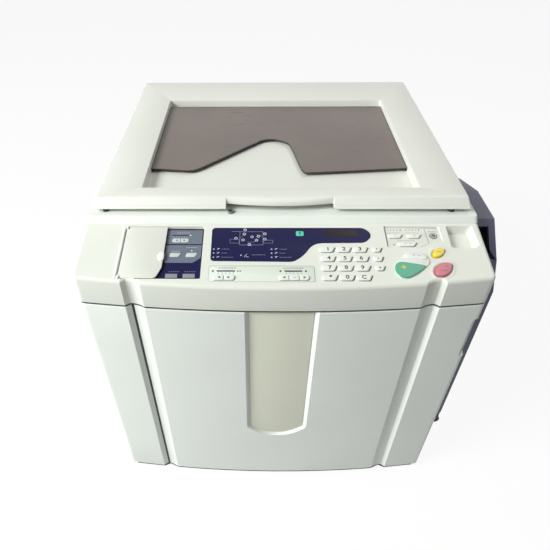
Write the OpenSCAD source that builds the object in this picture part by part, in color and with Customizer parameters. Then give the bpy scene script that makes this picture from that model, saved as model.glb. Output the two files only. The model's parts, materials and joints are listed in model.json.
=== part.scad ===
// Digital duplicator: a desktop stencil printer with a flat scanner on top.
// Origin under the middle of the machine, on the floor. +X right, +Y to the rear, +Z up.

/* [Body] */
// Width of the housing between its side faces
body_w = 620; // [580:5:760]
// Depth from the middle of the bowed front to the rear face
body_d = 650; // [640:5:790]
// Height of the seam between the front door and the control housing
seam_z = 488; // [450:1:600]
// How far the middle of the front stands ahead of its corners
bow = 20; // [14:1:36]
// Radius of the upright front corners
corner_r = 12; // [6:1:16]
// Gap between the door and the pieces around it
shut_gap = 3; // [2:0.5:5]
// Height of the rubber feet
foot_h = 5; // [3:1:12]
// Radius of each foot
foot_r = 15; // [10:1:22]
// Space between the floor and the lower edge of the covers
cover_z = 12; // [10:1:20]
// Thickness of the side and rear covers
cover_t = 6; // [3:1:8]

/* [Front] */
// Distance from the centre line to each upright groove
groove_x = 227; // [190:1:240]
// Width of each groove's soft side, towards the middle
groove_soft = 22; // [12:1:26]
// Width of each groove's steep side, towards the corner
groove_steep = 10; // [5:1:14]
// Depth of each upright groove
groove_deep = 6; // [6:1:14]
// Thickness of the front door
door_t = 25; // [20:1:32]
// Width of the name plate recess in the door
plate_w = 106; // [80:1:140]
// Height of the lower end of the name plate recess above the covers' lower edge
plate_low = 140; // [90:1:200]
// Depth of the name plate below the door's face
plate_deep = 6.5; // [4:0.5:8]
// Thickness of the name plate
plate_t = 1.5; // [1:0.5:4]
// Length of the finger recess in the door's free edge
pull_len = 87; // [60:1:120]
// Width of the finger recess
pull_w = 10; // [8:1:14]

/* [Control panel] */
// Slope of the control panel
panel_tilt = 10.8; // [6:0.1:16]
// Length of the control panel along its slope, behind the front corners
panel_len = 109; // [104:1:130]
// Height of the panel at its front corners above the seam
panel_rise = 52; // [40:0.5:60]
// Height that keys stand above the panel
key_h = 2; // [1:0.5:3]
// Thickness of the printed plates on the panel
overlay_t = 0.6; // [0.4:0.1:1]
// Distance between number keys, across
key_pitch_x = 24.8; // [24:0.1:30]
// Distance between number keys, along the slope
key_pitch_v = 18; // [16:0.2:19]
// Travel of the large keys
key_travel = 1.5; // [1:0.1:2]
// Width of the flap over the left keys
flap_w = 65; // [50:1:75]
// Thickness of the flap
flap_t = 2; // [1.5:0.5:3]

/* [Scanner and lid] */
// Height of the scanner's top face above the seam
scan_rise = 81; // [72:1:95]
// Thickness of the scanner glass
glass_t = 5; // [3:0.5:6]
// Height of the air gap between the scanner and the lid's rim
lid_gap = 7; // [6:0.5:10]
// Height of the lid's rim
lid_h = 16; // [12:1:24]
// Width of the lid at its lower edge
lid_w = 602; // [540:2:620]
// Length of the lid from front to rear
lid_len = 504; // [480:1:510]
// Width of the recess in the top of the lid
tub_w = 450; // [380:2:480]
// Length of the recess in the top of the lid
tub_len = 360; // [300:2:380]
// Thickness of the smoked sheet in the recess
sheet_t = 2.5; // [2:0.5:4]

/* [Trays] */
// How far the folded trays stand out from the sides
tray_out = 45; // [38:1:60]
// Length of the receiving tray from front to rear
tray_len = 474; // [400:2:500]
// Wall thickness of the receiving tray
tray_t = 4; // [3:0.5:6]
// Height of the receiving tray's hinge above the floor
tray_pivot_z = 88; // [75:1:110]
// Height of the folded receiving tray above its hinge
tray_h = 455; // [380:1:480]
// Length of the feed tray from front to rear
feed_len = 380; // [320:2:420]
// Height of the folded feed tray
feed_h = 370; // [320:2:420]

/* [Hidden] */
$fn = 64;

// Clearances
pin_fit = 0.05;      // radial, between a hinge pin and its bore
key_fit = 0.4;       // around a key in its well
seat = 0.3;          // between a moving piece at rest and what it rests on
swing = 5;           // around a piece that swings
eps = 0.5;           // by which a cut runs past a face
over = 2;            // by which a cut runs out above the sloping panel

// The bowed front: an arc through both corners, in plan
half_w = body_w / 2;
half_d = body_d / 2;
bow_r = (half_w * half_w + bow * bow) / (2 * bow);
corner_y = bow - half_d;
function bow_y(x) = bow_r - half_d - sqrt(bow_r * bow_r - x * x);
function corner_in(x) = let (d = min(corner_r, abs(x) - half_w + corner_r))
    d <= 0 ? 0 : corner_r - sqrt(corner_r * corner_r - d * d);
function groove_in(x) = let (d = abs(x) - groove_x)
    d >= groove_steep || d <= -groove_soft ? 0
    : d > 0 ? groove_deep * (1 - d / groove_steep)
    : groove_deep * (1 + cos(180 * d / groove_soft)) / 2;
function span(a, b, n) = [for (i = [0 : n - 1]) a + (b - a) * i / n];
corner_steps = [for (i = [0 : 4]) half_w - corner_r + corner_r * sin(90 * i / 5)];
right_xs = concat(span(0, groove_x - groove_soft, 8), span(groove_x - groove_soft, groove_x, 6),
    span(groove_x, groove_x + groove_steep, 2),
    span(groove_x + groove_steep, half_w - corner_r, 3), corner_steps, [half_w]);
left_xs = [for (i = [len(right_xs) - 1 : -1 : 1]) -right_xs[i]];
function xs_between(a, b) =
    concat([a], [for (x = concat(left_xs, right_xs)) if (x > a + 0.2 && x < b - 0.2) x], [b]);
function front_line(a, b, groove = 1) =
    [for (x = xs_between(a, b)) [x, bow_y(x) + corner_in(x) + groove * groove_in(x)]];
function back_line(a, b, inset) =
    [for (x = [for (i = [8 : -1 : 0]) a + (b - a) * i / 8]) [x, bow_y(x) + inset]];

// Door and what lies behind it
gap_x = -groove_x;
door_left = gap_x + shut_gap / 2;
door_pin_x = door_left + 10.5;
door_pin_in_y = 9;   // from the front line back to the pin
door_pin_y = bow_y(gap_x) + door_pin_in_y;
door_pin_r = 3;
door_pin_in = 14;
door_pin_end = 1;    // from a pin's end to the bottom of its bore
inner_y = corner_y + door_t + 8;
inner_t = 4;
chassis_y = inner_y + inner_t;
foot_in_x = 50;
foot_in_y = 75;
base_z = foot_h;
base_top = cover_z + 23;
lip_in = 2;
lip_t = 2;
chassis_w = body_w - 2 * cover_t;
plate_round = 60;
plate_z = cover_z + plate_low;
plate_fit = 0.5;
pull_deep = 14;
pull_drop = 32;
pull_past = 1;       // by which the finger recess opens through the door's side
drum_x = 20;
drum_z = (base_top + seam_z) / 2;
drum_r = 125;
drum_rim = 10;
handle_t = 8;
handle_l = 110;
handle_w = 22;

// Control panel: its own plane, x across and v up the slope from the front corners
housing_z = seam_z + shut_gap;
panel_z = seam_z + panel_rise;
panel_back_y = corner_y + panel_len * cos(panel_tilt);
panel_back_z = panel_z + panel_len * sin(panel_tilt);
groove_top = panel_z - 12;
big_key_top = 4;
big_key_low = 3;
well_floor = 1.5;    // below a key that is pressed right down
well_deep = big_key_low + key_travel + well_floor;
sub_x = -244;
sub_w = 124;
sub_v = -2.5;
sub_len = 105;
sub_deep = 5;
sub_plate_t = 1;
flap_edge = 1;
flap_pin_x = 2.5;
flap_pin_r = 1;
flap_pin_in = 2;
flap_tab_v = 42;    // from the foot of the flap's recess to the middle of its finger tab
flap_tab_r = 9;
flap_tab_h = 1;
sub_key_h = 1.2;
sub_key_l = 8;
sub_keys = [[-169.5, 72, 12, 3], [-155.5, 72, 12, 3], [-171, 42, 18, 3], [-146, 42, 18, 3],
    [-172, 2.5, 18, 1], [-147, 2.5, 18, 1]];        // left end, v, width, corner radius
ear_w = 5;
ear_l = 4;
ear_top = 1.6;
pads_x = 68.3;
pads_v = -0.5;
key_w = 23.5;
key_l = 10.2;
side_key_w = 15;
side_key_l = 9;
side_key_x = 143.5;
pad_round = 0.2;     // by which a key's round ends fall short of half circles
start_x = 188.6;
start_v = 22.5;
start_r = 24;
start_chord = 5.5;
proof_x = 200.3;
proof_v = 39.8;
proof_l = 31;
proof_t = 12.5;
stop_x = 236.9;
stop_v = 17.5;
stop_r = 12.5;
reset_x = 235.8;
reset_v = 50.2;
reset_r = 8.3;
display_x = -107;
display_w = 247.5;
display_v = 31;
display_len = 69.5;
display_round = 6;
step_x = 15;
step_w = 48;
step_up = 38.5;
window_at = [67, 80.3];
window_size = [50, 14.5];
lamp_at = [22.8, 81.8];
lamp_size = [12, 10];
lamp_round = 2;
adjust_x = -109;
adjust_w = 156;
adjust_v = -8.6;
adjust_len = 31;
adjust_round = 4;
rocker_rows = [[-102, 16.5, 2], [-5.8, 15, 3]];   // left end, pitch, segments
rocker_v = -5.6;
rocker_l = 9;
rocker_gap = 0.8;
rocker_round = 2;
mode_outline = [[160, 103.2], [246, 103.2], [247.3, 74.9], [244, 70.4], [224.7, 67.7],
    [210.8, 59.6], [160.8, 59.8]];
mode_rows = [[164.7, 79.2, 22.5], [193.4, 79.2, 22.5], [177.6, 62.5, 29]];    // left end, v, width
mode_key_l = 8.5;
mode_round = 4;
button_at = [235, 84.3];
button_r = 6;
pocket_x = 257.5;
pocket_v = 59;
pocket_w = 40;
pocket_len = 45.5;
pocket_deep = 9;
pocket_round = 5;

// Scanner and lid
scan_z = seam_z + scan_rise;
scan_slope = 8.7;    // length of the slope that leads from the key panel up to the scanner's top
lid_z = scan_z + lid_gap;
lid_top = lid_z + lid_h;
lid_back = half_d - 2;
lid_front = lid_back - lid_len;
lid_lean = 6;
lid_slope = 12;      // by which the lid's front leans back
lid_lip = 1.5;       // height of the upright edge below that slope
lid_axis_y = lid_back - 3;
lid_axis_z = scan_z + lid_gap / 2;
lid_barrel_r = lid_gap / 2 - 0.4;
lid_pin_r = 1.5;
lid_hinge_x = 200;
lid_bore = 80;       // length of the cut for the pin, past both barrels
lid_round = 14;
tub_front = lid_front + 40;
tub_floor = lid_top - 17;
tub_wall = 6;
tub_floor_t = 2.5;
pad_in = 4;
sheet_top = lid_top - 10;
glass_w = 440;
glass_len = 310;
glass_front = tub_front - 12;
grip_w = 168;
grip_deep = 11;      // by which the front is cut back at the grip's ends
grip_mid = 5;        // and in its middle
grip_under = 20;
grip_h = 6;
grip_bulge = grip_deep - grip_mid;
grip_r = (grip_w * grip_w / 4 + grip_bulge * grip_bulge) / (2 * grip_bulge);
barrel_l = 24;
barrel_gap = 0.5;
bumpers_x = [-281, 272];
bumper_in = 8;
bumper_r = 5;
sensor_x = -80;
sensor_in = 2;
sensor_r = 5;
sensor_h = 4;

// Front edge of the smoked sheet, as distances from the recess's front wall. Along its width,
// from 0 to 1, it drops a little, climbs a straight slope to a round hump and falls to a dip.
sheet_back = 10;
edge_left = 81;
edge_low = 72;
edge_shoulder = 184;
edge_top = 195;
edge_fall = 180;
edge_dip = 65;
edge_right = 82;
slope_from = 0.17;
slope_to = 0.418;
hump_at = 0.472;
hump_bend = 3400;
fall_from = 0.539;
fall_to = 0.6;
function mix(a, b, k) = a + (b - a) * k;
function part_way(a, b, t) = (t - a) / (b - a);
function sheet_edge(t) =
    t < slope_from ? mix(edge_left, edge_low, t / slope_from)
    : t < slope_to ? mix(edge_low, edge_shoulder, part_way(slope_from, slope_to, t))
    : t < fall_from ? edge_top - hump_bend * pow(t - hump_at, 2)
    : t < fall_to ? mix(edge_fall, edge_dip, (1 - cos(180 * part_way(fall_from, fall_to, t))) / 2)
    : mix(edge_dip, edge_right, part_way(fall_to, 1, t));

// Receiving tray
tray_x = half_w + tray_out;
tray_in = half_w + swing;
tray_low = tray_pivot_z + 16;
tray_top = tray_pivot_z + tray_h;
tray_half = tray_len / 2;
pivot_in = 11;       // from the tray's outer face in to its pivot
pivot_x = tray_x - pivot_in;
pivot_r = 5;
lug_r = 10;
lug_t = 8;
lug_rise = 40;
bracket_t = 6;
arm_low = 20;
arm_w = 10;
pin_past = 1.5;      // by which the pivot pin stands out of the tray's lug
knob_t = 6;
cut_low = 91;        // the tray's upper corners are cut off in two steps, from here below its top
cut_mid = [26, 46];
cut_top = 80;
fall_start = 70;     // the upper edge is level from the front corner to here, ahead of the middle
fall_mid = [13, 23]; // then it falls to the rear in three slopes
fall_end = [60, 42];
rear_cut = [44, 60];
grip_hole_w = 28;
grip_hole_l = 44;
guide_t = 5;
guide_l = 260;
guide_h = 60;
guide_y = 75;
guide_low = 60;
exit_w = 330;
exit_z = 150;
exit_h = 120;
exit_deep = 60;

// Feed tray and power inlet
feed_low = 72;
feed_out = tray_out;
feed_hinge = [22, 16, 20];
feed_hinge_in = 20;
inlet_w = 30;
inlet_h = 22;
inlet_x = -220;
inlet_z = 70;
inlet_wall = 3;
inlet_deep = 12;

module on_panel(x = 0, v = 0, lift = 0) {
    translate([0, corner_y, panel_z]) rotate([panel_tilt, 0, 0]) translate([x, v, lift]) children();
}

module round_rect(w, l, r) {
    translate([r, 0]) square([w - 2 * r, l]);
    translate([0, r]) square([w, l - 2 * r]);
    for (x = [r, w - r], y = [r, l - r]) translate([x, y]) circle(r);
}

// ---- Housing -------------------------------------------------------------

module feet() {
    color("#26272a") for (x = [-1, 1], y = [-1, 1])
        translate([x * (half_w - foot_in_x), y * (half_d - foot_in_y), 0]) cylinder(h = foot_h, r = foot_r);
}

module base_pan() {
    color("#2c2d31") {
        translate([-chassis_w / 2, chassis_y, base_z])
            cube([chassis_w, half_d - cover_t - chassis_y, base_top - base_z]);
        translate([0, 0, base_z]) linear_extrude(lip_t) polygon(concat(
            [for (p = front_line(-half_w + corner_r, half_w - corner_r)) p + [0, lip_in]],
            [[half_w - corner_r, chassis_y + eps], [-half_w + corner_r, chassis_y + eps]]));
    }
}

module chassis() {
    color("#3a3c40") difference() {
        translate([-chassis_w / 2, chassis_y, base_top])
            cube([chassis_w, half_d - cover_t - chassis_y, housing_z - base_top]);
        translate([chassis_w / 2 - exit_deep, -exit_w / 2, exit_z])
            cube([exit_deep + eps, exit_w, exit_h]);
        inlet_block(eps);
    }
}

// The block of the power inlet; it runs on behind the rear cover
module inlet_block(past = 0) {
    translate([inlet_x - inlet_w / 2, half_d - cover_t - inlet_deep, inlet_z])
        cube([inlet_w, cover_t + inlet_deep + past, inlet_h]);
}

module side_cover(exit) {
    front = corner_y + door_t + shut_gap;
    difference() {
        translate([-cover_t / 2, front, cover_z])
            cube([cover_t, half_d - cover_t - front, seam_z - cover_z]);
        if (exit) translate([-cover_t / 2 - eps, -exit_w / 2, exit_z])
            cube([cover_t + 2 * eps, exit_w, exit_h]);
    }
}

module side_cover_left() {
    color("#e4e6de") translate([-half_w + cover_t / 2, 0, 0]) side_cover(false);
}

module side_cover_right() {
    color("#e4e6de") translate([half_w - cover_t / 2, 0, 0]) side_cover(true);
}

module rear_cover() {
    color("#e4e6de") difference() {
        translate([-half_w, half_d - cover_t, cover_z]) cube([body_w, cover_t, seam_z - cover_z]);
        inlet_block(eps);
    }
}

module power_inlet() {
    color("#202124") difference() {
        inlet_block();
        translate([inlet_x - inlet_w / 2 + inlet_wall, half_d - cover_t - inlet_deep + inlet_wall,
            inlet_z + inlet_wall])
            cube([inlet_w - 2 * inlet_wall, cover_t + inlet_deep, inlet_h - 2 * inlet_wall]);
    }
}

// ---- Front ---------------------------------------------------------------

module left_front_cover() {
    edge = gap_x - shut_gap / 2;
    color("#e4e6de") translate([0, 0, cover_z]) linear_extrude(seam_z - cover_z)
        polygon(concat(front_line(-half_w, edge), [[edge, chassis_y],
            [-half_w + cover_t, chassis_y], [-half_w + cover_t, corner_y + door_t],
            [-half_w, corner_y + door_t]]));
}

module inner_panel() {
    color("#c9cbc6") translate([door_left, inner_y, base_top])
        cube([chassis_w / 2 - door_left, inner_t, seam_z - base_top]);
}

module drum_unit() {
    color("#55606e") {
        translate([drum_x, inner_y, drum_z]) rotate([90, 0, 0]) cylinder(h = drum_rim, r = drum_r);
        translate([drum_x - handle_l / 2, inner_y - drum_rim - handle_t, drum_z - handle_w / 2])
            cube([handle_l, handle_t + eps, handle_w]);
    }
}

// Upright pins at the foot and head of the door's left edge
module door_hinge_pins() {
    low = base_z + lip_t;
    color("#b9bcc0") {
        translate([door_pin_x, door_pin_y, low])
            cylinder(h = cover_z - low + door_pin_in - door_pin_end, r = door_pin_r);
        translate([door_pin_x, door_pin_y, seam_z - door_pin_in + door_pin_end])
            cylinder(h = shut_gap + door_pin_in - door_pin_end, r = door_pin_r);
    }
}

// A tall panel with a round lower end, open at the top
module plate_outline(w, grow = 0) {
    r = w / 2;
    low = plate_z - grow;
    rise = plate_round - sqrt(plate_round * plate_round - r * r);
    intersection() {
        translate([-r, low]) square([w, seam_z - low]);
        union() {
            translate([0, low + plate_round]) circle(plate_round);
            translate([-r, low + rise]) square([w, seam_z - low]);
        }
    }
}

// Finger recess in the free edge of the door, an upright slot with round ends
module door_pull() {
    r = pull_w / 2;
    translate([half_w - r + pull_past, corner_y - corner_r, seam_z - pull_drop - pull_len / 2])
        rotate([-90, 0, 0]) linear_extrude(pull_deep + corner_r) {
            translate([-r, -pull_len / 2 + r]) square([pull_w + pull_past, pull_len - 2 * r]);
            for (s = [-1, 1]) translate([0, s * (pull_len / 2 - r)]) circle(r);
        }
}

module front_door() {
    color("#e4e6de") difference() {
        translate([0, 0, cover_z]) linear_extrude(seam_z - cover_z) polygon(concat(
            front_line(door_left, half_w), back_line(door_left, half_w, door_t)));
        translate([0, plate_deep - half_d, 0]) rotate([90, 0, 0])
            linear_extrude(bow) plate_outline(plate_w);
        translate([-plate_w / 2, -half_d - bow, seam_z - eps])
            cube([plate_w, bow + plate_deep, 2 * eps]);
        door_pull();
        for (z = [cover_z - eps, seam_z - door_pin_in])
            translate([door_pin_x, door_pin_y, z])
                cylinder(h = door_pin_in + eps, r = door_pin_r + pin_fit);
    }
}

module name_plate() {
    color("#d0cfbd") translate([0, plate_deep - half_d, 0]) rotate([90, 0, 0])
        linear_extrude(plate_t) plate_outline(plate_w - 2 * plate_fit, -plate_fit);
}

// ---- Control housing -----------------------------------------------------

module start_outline(grow = 0) {
    intersection() {
        circle(start_r + grow);
        translate([-start_r - grow, -start_r - grow])
            square([2 * (start_r + grow), start_r + start_chord + 2 * grow]);
    }
}

module proof_outline(grow = 0) {
    half_l = proof_l / 2;
    half_t = proof_t / 2;
    r = (half_l * half_l + half_t * half_t) / (2 * half_t);
    intersection() {
        translate([0, r - half_t]) circle(r + grow);
        translate([0, half_t - r]) circle(r + grow);
    }
}

module key_well() {
    translate([0, 0, -well_deep]) linear_extrude(well_deep + over) children();
}

module key_body() {
    translate([0, 0, -big_key_low]) linear_extrude(big_key_top + big_key_low) children();
}

// The housing under the control panel, with the panel's slope cut over its top
module housing_block() {
    run = panel_back_y + half_d;
    fall = bow * tan(panel_tilt);
    intersection() {
        union() {
            translate([0, 0, housing_z]) linear_extrude(groove_top - housing_z)
                polygon(concat(front_line(-half_w, half_w),
                    [[half_w, panel_back_y], [-half_w, panel_back_y]]));
            translate([0, 0, groove_top - eps]) linear_extrude(panel_back_z - groove_top + over)
                polygon(concat(front_line(-half_w, half_w, 0),
                    [[half_w, panel_back_y], [-half_w, panel_back_y]]));
        }
        rotate([90, 0, 90]) translate([-half_d, 0, -half_w - eps])
            linear_extrude(body_w + 2 * eps) polygon([[-eps, housing_z - 1],
                [-eps, panel_z - fall], [0, panel_z - fall], [run, panel_back_z],
                [run + eps, panel_back_z], [run + eps, housing_z - 1]]);
    }
}

module control_housing() {
    color("#e4e6de") {
        difference() {
            housing_block();
            on_panel(sub_x, sub_v, -sub_deep) cube([sub_w, sub_len, sub_deep + over]);
            on_panel(pocket_x, pocket_v, -pocket_deep) linear_extrude(pocket_deep + over)
                round_rect(pocket_w, pocket_len, pocket_round);
            on_panel(start_x, start_v) key_well() start_outline(key_fit);
            on_panel(proof_x, proof_v) key_well() proof_outline(key_fit);
            on_panel(stop_x, stop_v) key_well() circle(stop_r + key_fit);
            on_panel(reset_x, reset_v) key_well() circle(reset_r + key_fit);
        }
        for (v = [sub_v, sub_v + sub_len - ear_l]) difference() {
            on_panel(sub_x, v, -sub_deep) cube([ear_w, ear_l, sub_deep + ear_top]);
            flap_pin_bore(v - eps, ear_l + 2 * eps);
        }
    }
}

module flap_pin_bore(v, l) {
    on_panel(sub_x + flap_pin_x, v, 0) rotate([-90, 0, 0])
        cylinder(h = l, r = flap_pin_r + pin_fit);
}

// ---- Left keys and their flap ---------------------------------------------

module sub_panel() {
    color("#4a5570") on_panel(sub_x + eps + ear_w, sub_v + eps, -sub_deep)
        cube([sub_w - 2 * eps - ear_w, sub_len - 2 * eps, sub_plate_t]);
}

module sub_panel_keys() {
    color("#d9dadb") for (k = sub_keys) on_panel(k[0], k[1], sub_plate_t - sub_deep)
        linear_extrude(sub_key_h) round_rect(k[2], sub_key_l, k[3]);
}

module panel_flap() {
    color("#e0e1d8") difference() {
        union() {
            on_panel(sub_x + flap_edge, sub_v + 1, -flap_t / 2)
                cube([flap_w - flap_edge, sub_len - 2, flap_t]);
            flap_pins();
            flap_tab();
        }
        for (v = [sub_v, sub_v + sub_len - ear_l]) on_panel(sub_x, v - 1, -flap_t)
            difference() {
                cube([ear_w + 1, ear_l + 2, 2 * flap_t]);
                translate([flap_pin_x, -1, flap_t]) rotate([-90, 0, 0])
                    cylinder(h = ear_l + 4, r = flap_pin_r);
            }
    }
}

// Half-round ledge at the flap's free edge, for a fingertip
module flap_tab() {
    on_panel(sub_x + flap_w, sub_v + flap_tab_v, 0) linear_extrude(flap_t / 2 + flap_tab_h)
        intersection() {
            circle(flap_tab_r);
            translate([-2 * flap_tab_r, -flap_tab_r]) square(2 * flap_tab_r);
        }
}

module flap_pins() {
    on_panel(sub_x + flap_pin_x, sub_v + ear_l - flap_pin_in, 0) rotate([-90, 0, 0])
        cylinder(h = sub_len - 2 * (ear_l - flap_pin_in), r = flap_pin_r);
}

// ---- Displays and keys -----------------------------------------------------

module display_panel() {
    color("#2a2854") on_panel() linear_extrude(overlay_t) difference() {
        translate([display_x, display_v])
            round_rect(display_w, display_len, display_round);
        polygon(concat([[display_x + display_w + 1, display_v - 1], [step_x, display_v - 1]],
            [for (i = [0 : 12]) [step_x + step_w * i / 12,
                display_v + step_up * (1 - cos(15 * i)) / 2]],
            [[display_x + display_w + 1, display_v + step_up]]));
    }
}

module display_window() {
    color("#30262a") on_panel(window_at[0], window_at[1], overlay_t)
        cube([window_size[0], window_size[1], overlay_t]);
}

module mode_lamp() {
    color("#2fa57e") on_panel(lamp_at[0], lamp_at[1], overlay_t) linear_extrude(overlay_t)
        round_rect(lamp_size[0], lamp_size[1], lamp_round);
}

module adjust_plate() {
    color("#d8ded6") on_panel(adjust_x, adjust_v) linear_extrude(overlay_t)
        round_rect(adjust_w, adjust_len, adjust_round);
}

// Rocker keys in one row: two segments on the left, three on the right
module adjust_keys() {
    color("#e9ebe8") for (row = rocker_rows, i = [0 : row[2] - 1])
        on_panel(row[0] + i * row[1], rocker_v, overlay_t) linear_extrude(key_h)
            round_rect(row[1] - rocker_gap, rocker_l, rocker_round);
}

module number_keys() {
    color("#eceeea") for (c = [0 : 2], r = [0 : 3])
        on_panel(pads_x + c * key_pitch_x - key_w / 2, pads_v + r * key_pitch_v - key_l / 2)
            linear_extrude(key_h) round_rect(key_w, key_l, key_l / 2 - pad_round);
}

module side_keys() {
    color("#eceeea") for (r = [1 : 3])
        on_panel(side_key_x - side_key_w / 2, pads_v + r * key_pitch_v - side_key_l / 2)
            linear_extrude(key_h) round_rect(side_key_w, side_key_l, side_key_l / 2 - pad_round);
}

module mode_plate() {
    color("#d2d4cb") on_panel() linear_extrude(overlay_t) polygon(mode_outline);
}

module mode_keys() {
    color("#e9ebe8") for (k = mode_rows) on_panel(k[0], k[1], overlay_t) linear_extrude(key_h)
        round_rect(k[2], mode_key_l, mode_round);
}

module round_button() {
    color("#6c6f70") on_panel(button_at[0], button_at[1], overlay_t) cylinder(h = key_h, r = button_r);
}

module start_key() {
    color("#47b28c") on_panel(start_x, start_v) key_body() start_outline();
}

module stop_key() {
    color("#e2919f") on_panel(stop_x, stop_v) key_body() circle(stop_r);
}

module reset_key() {
    color("#f0cf2a") on_panel(reset_x, reset_v) key_body() circle(reset_r);
}

module proof_key() {
    color("#eceeea") on_panel(proof_x, proof_v) key_body() proof_outline();
}

// ---- Scanner and lid -------------------------------------------------------

module scanner_housing() {
    color("#e4e6de") difference() {
        rotate([90, 0, 90]) translate([0, 0, -half_w]) linear_extrude(body_w) polygon([
            [panel_back_y, housing_z], [half_d, housing_z], [half_d, scan_z],
            [panel_back_y + scan_slope, scan_z], [panel_back_y, panel_back_z]]);
        translate([-glass_w / 2 - eps / 2, glass_front - eps / 2, scan_z - glass_t])
            cube([glass_w + eps, glass_len + eps, glass_t + eps]);
    }
}

module platen_glass() {
    color("#9fb4b0", 0.5) translate([-glass_w / 2, glass_front, scan_z - glass_t])
        cube([glass_w, glass_len, glass_t]);
}

module lid_bumpers() {
    color("#1f2022") for (x = bumpers_x) translate([x, lid_front + bumper_in, scan_z])
        cylinder(h = lid_gap - seat, r = bumper_r);
}

module lid_sensor() {
    color("#8b8d8f") translate([sensor_x, lid_front + sensor_in, scan_z])
        cylinder(h = sensor_h, r = sensor_r);
}

// A barrel of the lid's hinge with the block that ties it up or down
module hinge_barrel(x, l, up) {
    translate([x, lid_axis_y, lid_axis_z]) rotate([0, 90, 0]) cylinder(h = l, r = lid_barrel_r);
    translate([x, lid_axis_y - lid_barrel_r, up ? lid_axis_z : scan_z])
        cube([l, 2 * lid_barrel_r, lid_gap / 2]);
}

module hinge_bore(x) {
    translate([x - lid_bore / 2, lid_axis_y, lid_axis_z]) rotate([0, 90, 0])
        cylinder(h = lid_bore, r = lid_pin_r + pin_fit);
}

module lid_hinge_pins() {
    color("#9a9da0") for (s = [-1, 1]) {
        difference() {
            hinge_barrel(s * lid_hinge_x - barrel_l / 2, barrel_l, false);
            hinge_bore(s * lid_hinge_x);
        }
        translate([s * lid_hinge_x - barrel_l, lid_axis_y, lid_axis_z]) rotate([0, 90, 0])
            cylinder(h = 2 * barrel_l, r = lid_pin_r);
    }
}

// The lid's rim, leaning in at both sides and at its front
module lid_slab() {
    half_low = lid_w / 2;
    half_top = half_low - lid_lean;
    intersection() {
        translate([0, lid_back, 0]) rotate([90, 0, 0]) linear_extrude(lid_len)
            polygon([[-half_low, lid_z], [half_low, lid_z], [half_top, lid_top], [-half_top, lid_top]]);
        translate([-half_low, lid_front, lid_z - 1]) linear_extrude(lid_h + 2)
            round_rect(lid_w, lid_len, lid_round);
        rotate([90, 0, 90]) translate([0, 0, -half_low - eps]) linear_extrude(lid_w + 2 * eps)
            polygon([[lid_front - eps, lid_z - eps], [lid_back + eps, lid_z - eps],
                [lid_back + eps, lid_top + eps], [lid_front + lid_slope, lid_top + eps],
                [lid_front + lid_slope, lid_top], [lid_front, lid_z + lid_lip], [lid_front - eps, lid_z + lid_lip]]);
    }
}

module lid_cover() {
    tub_out = tub_w + 2 * tub_wall;
    color("#e2e4dc") {
        difference() {
            union() {
                lid_slab();
                translate([-tub_out / 2, tub_front - tub_wall, tub_floor - tub_floor_t])
                    cube([tub_out, tub_len + 2 * tub_wall, lid_z - tub_floor + tub_floor_t + 1]);
            }
            translate([-tub_w / 2, tub_front, tub_floor]) cube([tub_w, tub_len, lid_h + over]);
            // Finger grip: a hollow under the front, which is cut back above it, most at its ends
            translate([-grip_w / 2, lid_front - 1, lid_z - 1]) cube([grip_w, grip_under + 1, grip_h + 1]);
            translate([0, lid_front, lid_z]) difference() {
                translate([-grip_w / 2, -1, 0]) cube([grip_w, grip_deep + 1, lid_h + 1]);
                translate([0, grip_mid + grip_r, -1]) cylinder(h = lid_h + 3, r = grip_r);
            }
        }
        for (s = [-1, 1], e = [-1, 1]) difference() {
            hinge_barrel(s * lid_hinge_x + e * (barrel_l / 2 + barrel_gap) + (e < 0 ? -barrel_l / 2 : 0),
                barrel_l / 2, true);
            hinge_bore(s * lid_hinge_x);
        }
    }
}

module lid_sheet() {
    color("#7d706c", 0.7) translate([-tub_w / 2 + eps, tub_front, sheet_top - sheet_t])
        linear_extrude(sheet_t) polygon(concat(
            [for (i = [0 : 60]) [(tub_w - 2 * eps) * i / 60, sheet_edge(i / 60)]],
            [[tub_w - 2 * eps, tub_len - sheet_back], [0, tub_len - sheet_back]]));
}

module lid_pad() {
    color("#eeeeea") translate([-tub_w / 2 + pad_in, tub_front + pad_in, scan_z + seat])
        cube([tub_w - 2 * pad_in, tub_len - 2 * pad_in, tub_floor - tub_floor_t - scan_z - seat]);
}

// ---- Trays -----------------------------------------------------------------

// Side view of the receiving tray, from front to rear, shrunk by d all round. Its front corner
// is the highest.
module tray_profile(d = 0, low = 0) {
    a = tray_half - d;
    b = tray_top - d;
    k = 0.4 * d;
    polygon([[-a, tray_low - low], [-a, b - cut_low], [-a + cut_mid[0], b - cut_mid[1]],
        [-a + cut_top + k, b], [-fall_start, b], [fall_mid[0], b - fall_mid[1]],
        [fall_end[0], b - fall_end[1]], [a - rear_cut[0], b - rear_cut[1]],
        [a, b - cut_low], [a, tray_low - low]]);
}

// The arm that carries the tray's pivot, with the pin that the tray turns on
module tray_brackets() {
    y = tray_half - lug_t - swing / 2 - bracket_t;
    color("#26272d") for (s = [0, 1]) mirror([0, s, 0]) translate([0, y, 0]) {
        rotate([90, 0, 0]) translate([0, 0, -bracket_t]) linear_extrude(bracket_t) {
            translate([half_w, tray_pivot_z - lug_r]) square([pivot_x - half_w, 2 * lug_r]);
            translate([pivot_x, tray_pivot_z]) circle(lug_r);
            translate([pivot_x - arm_w / 2, arm_low + arm_w / 2])
                square([arm_w, tray_pivot_z - arm_low - arm_w / 2]);
            translate([pivot_x, arm_low + arm_w / 2]) circle(arm_w / 2);
        }
        translate([pivot_x, bracket_t / 2, tray_pivot_z]) rotate([-90, 0, 0])
            cylinder(h = bracket_t / 2 + swing / 2 + lug_t + pin_past, r = pivot_r);
    }
}

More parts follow.
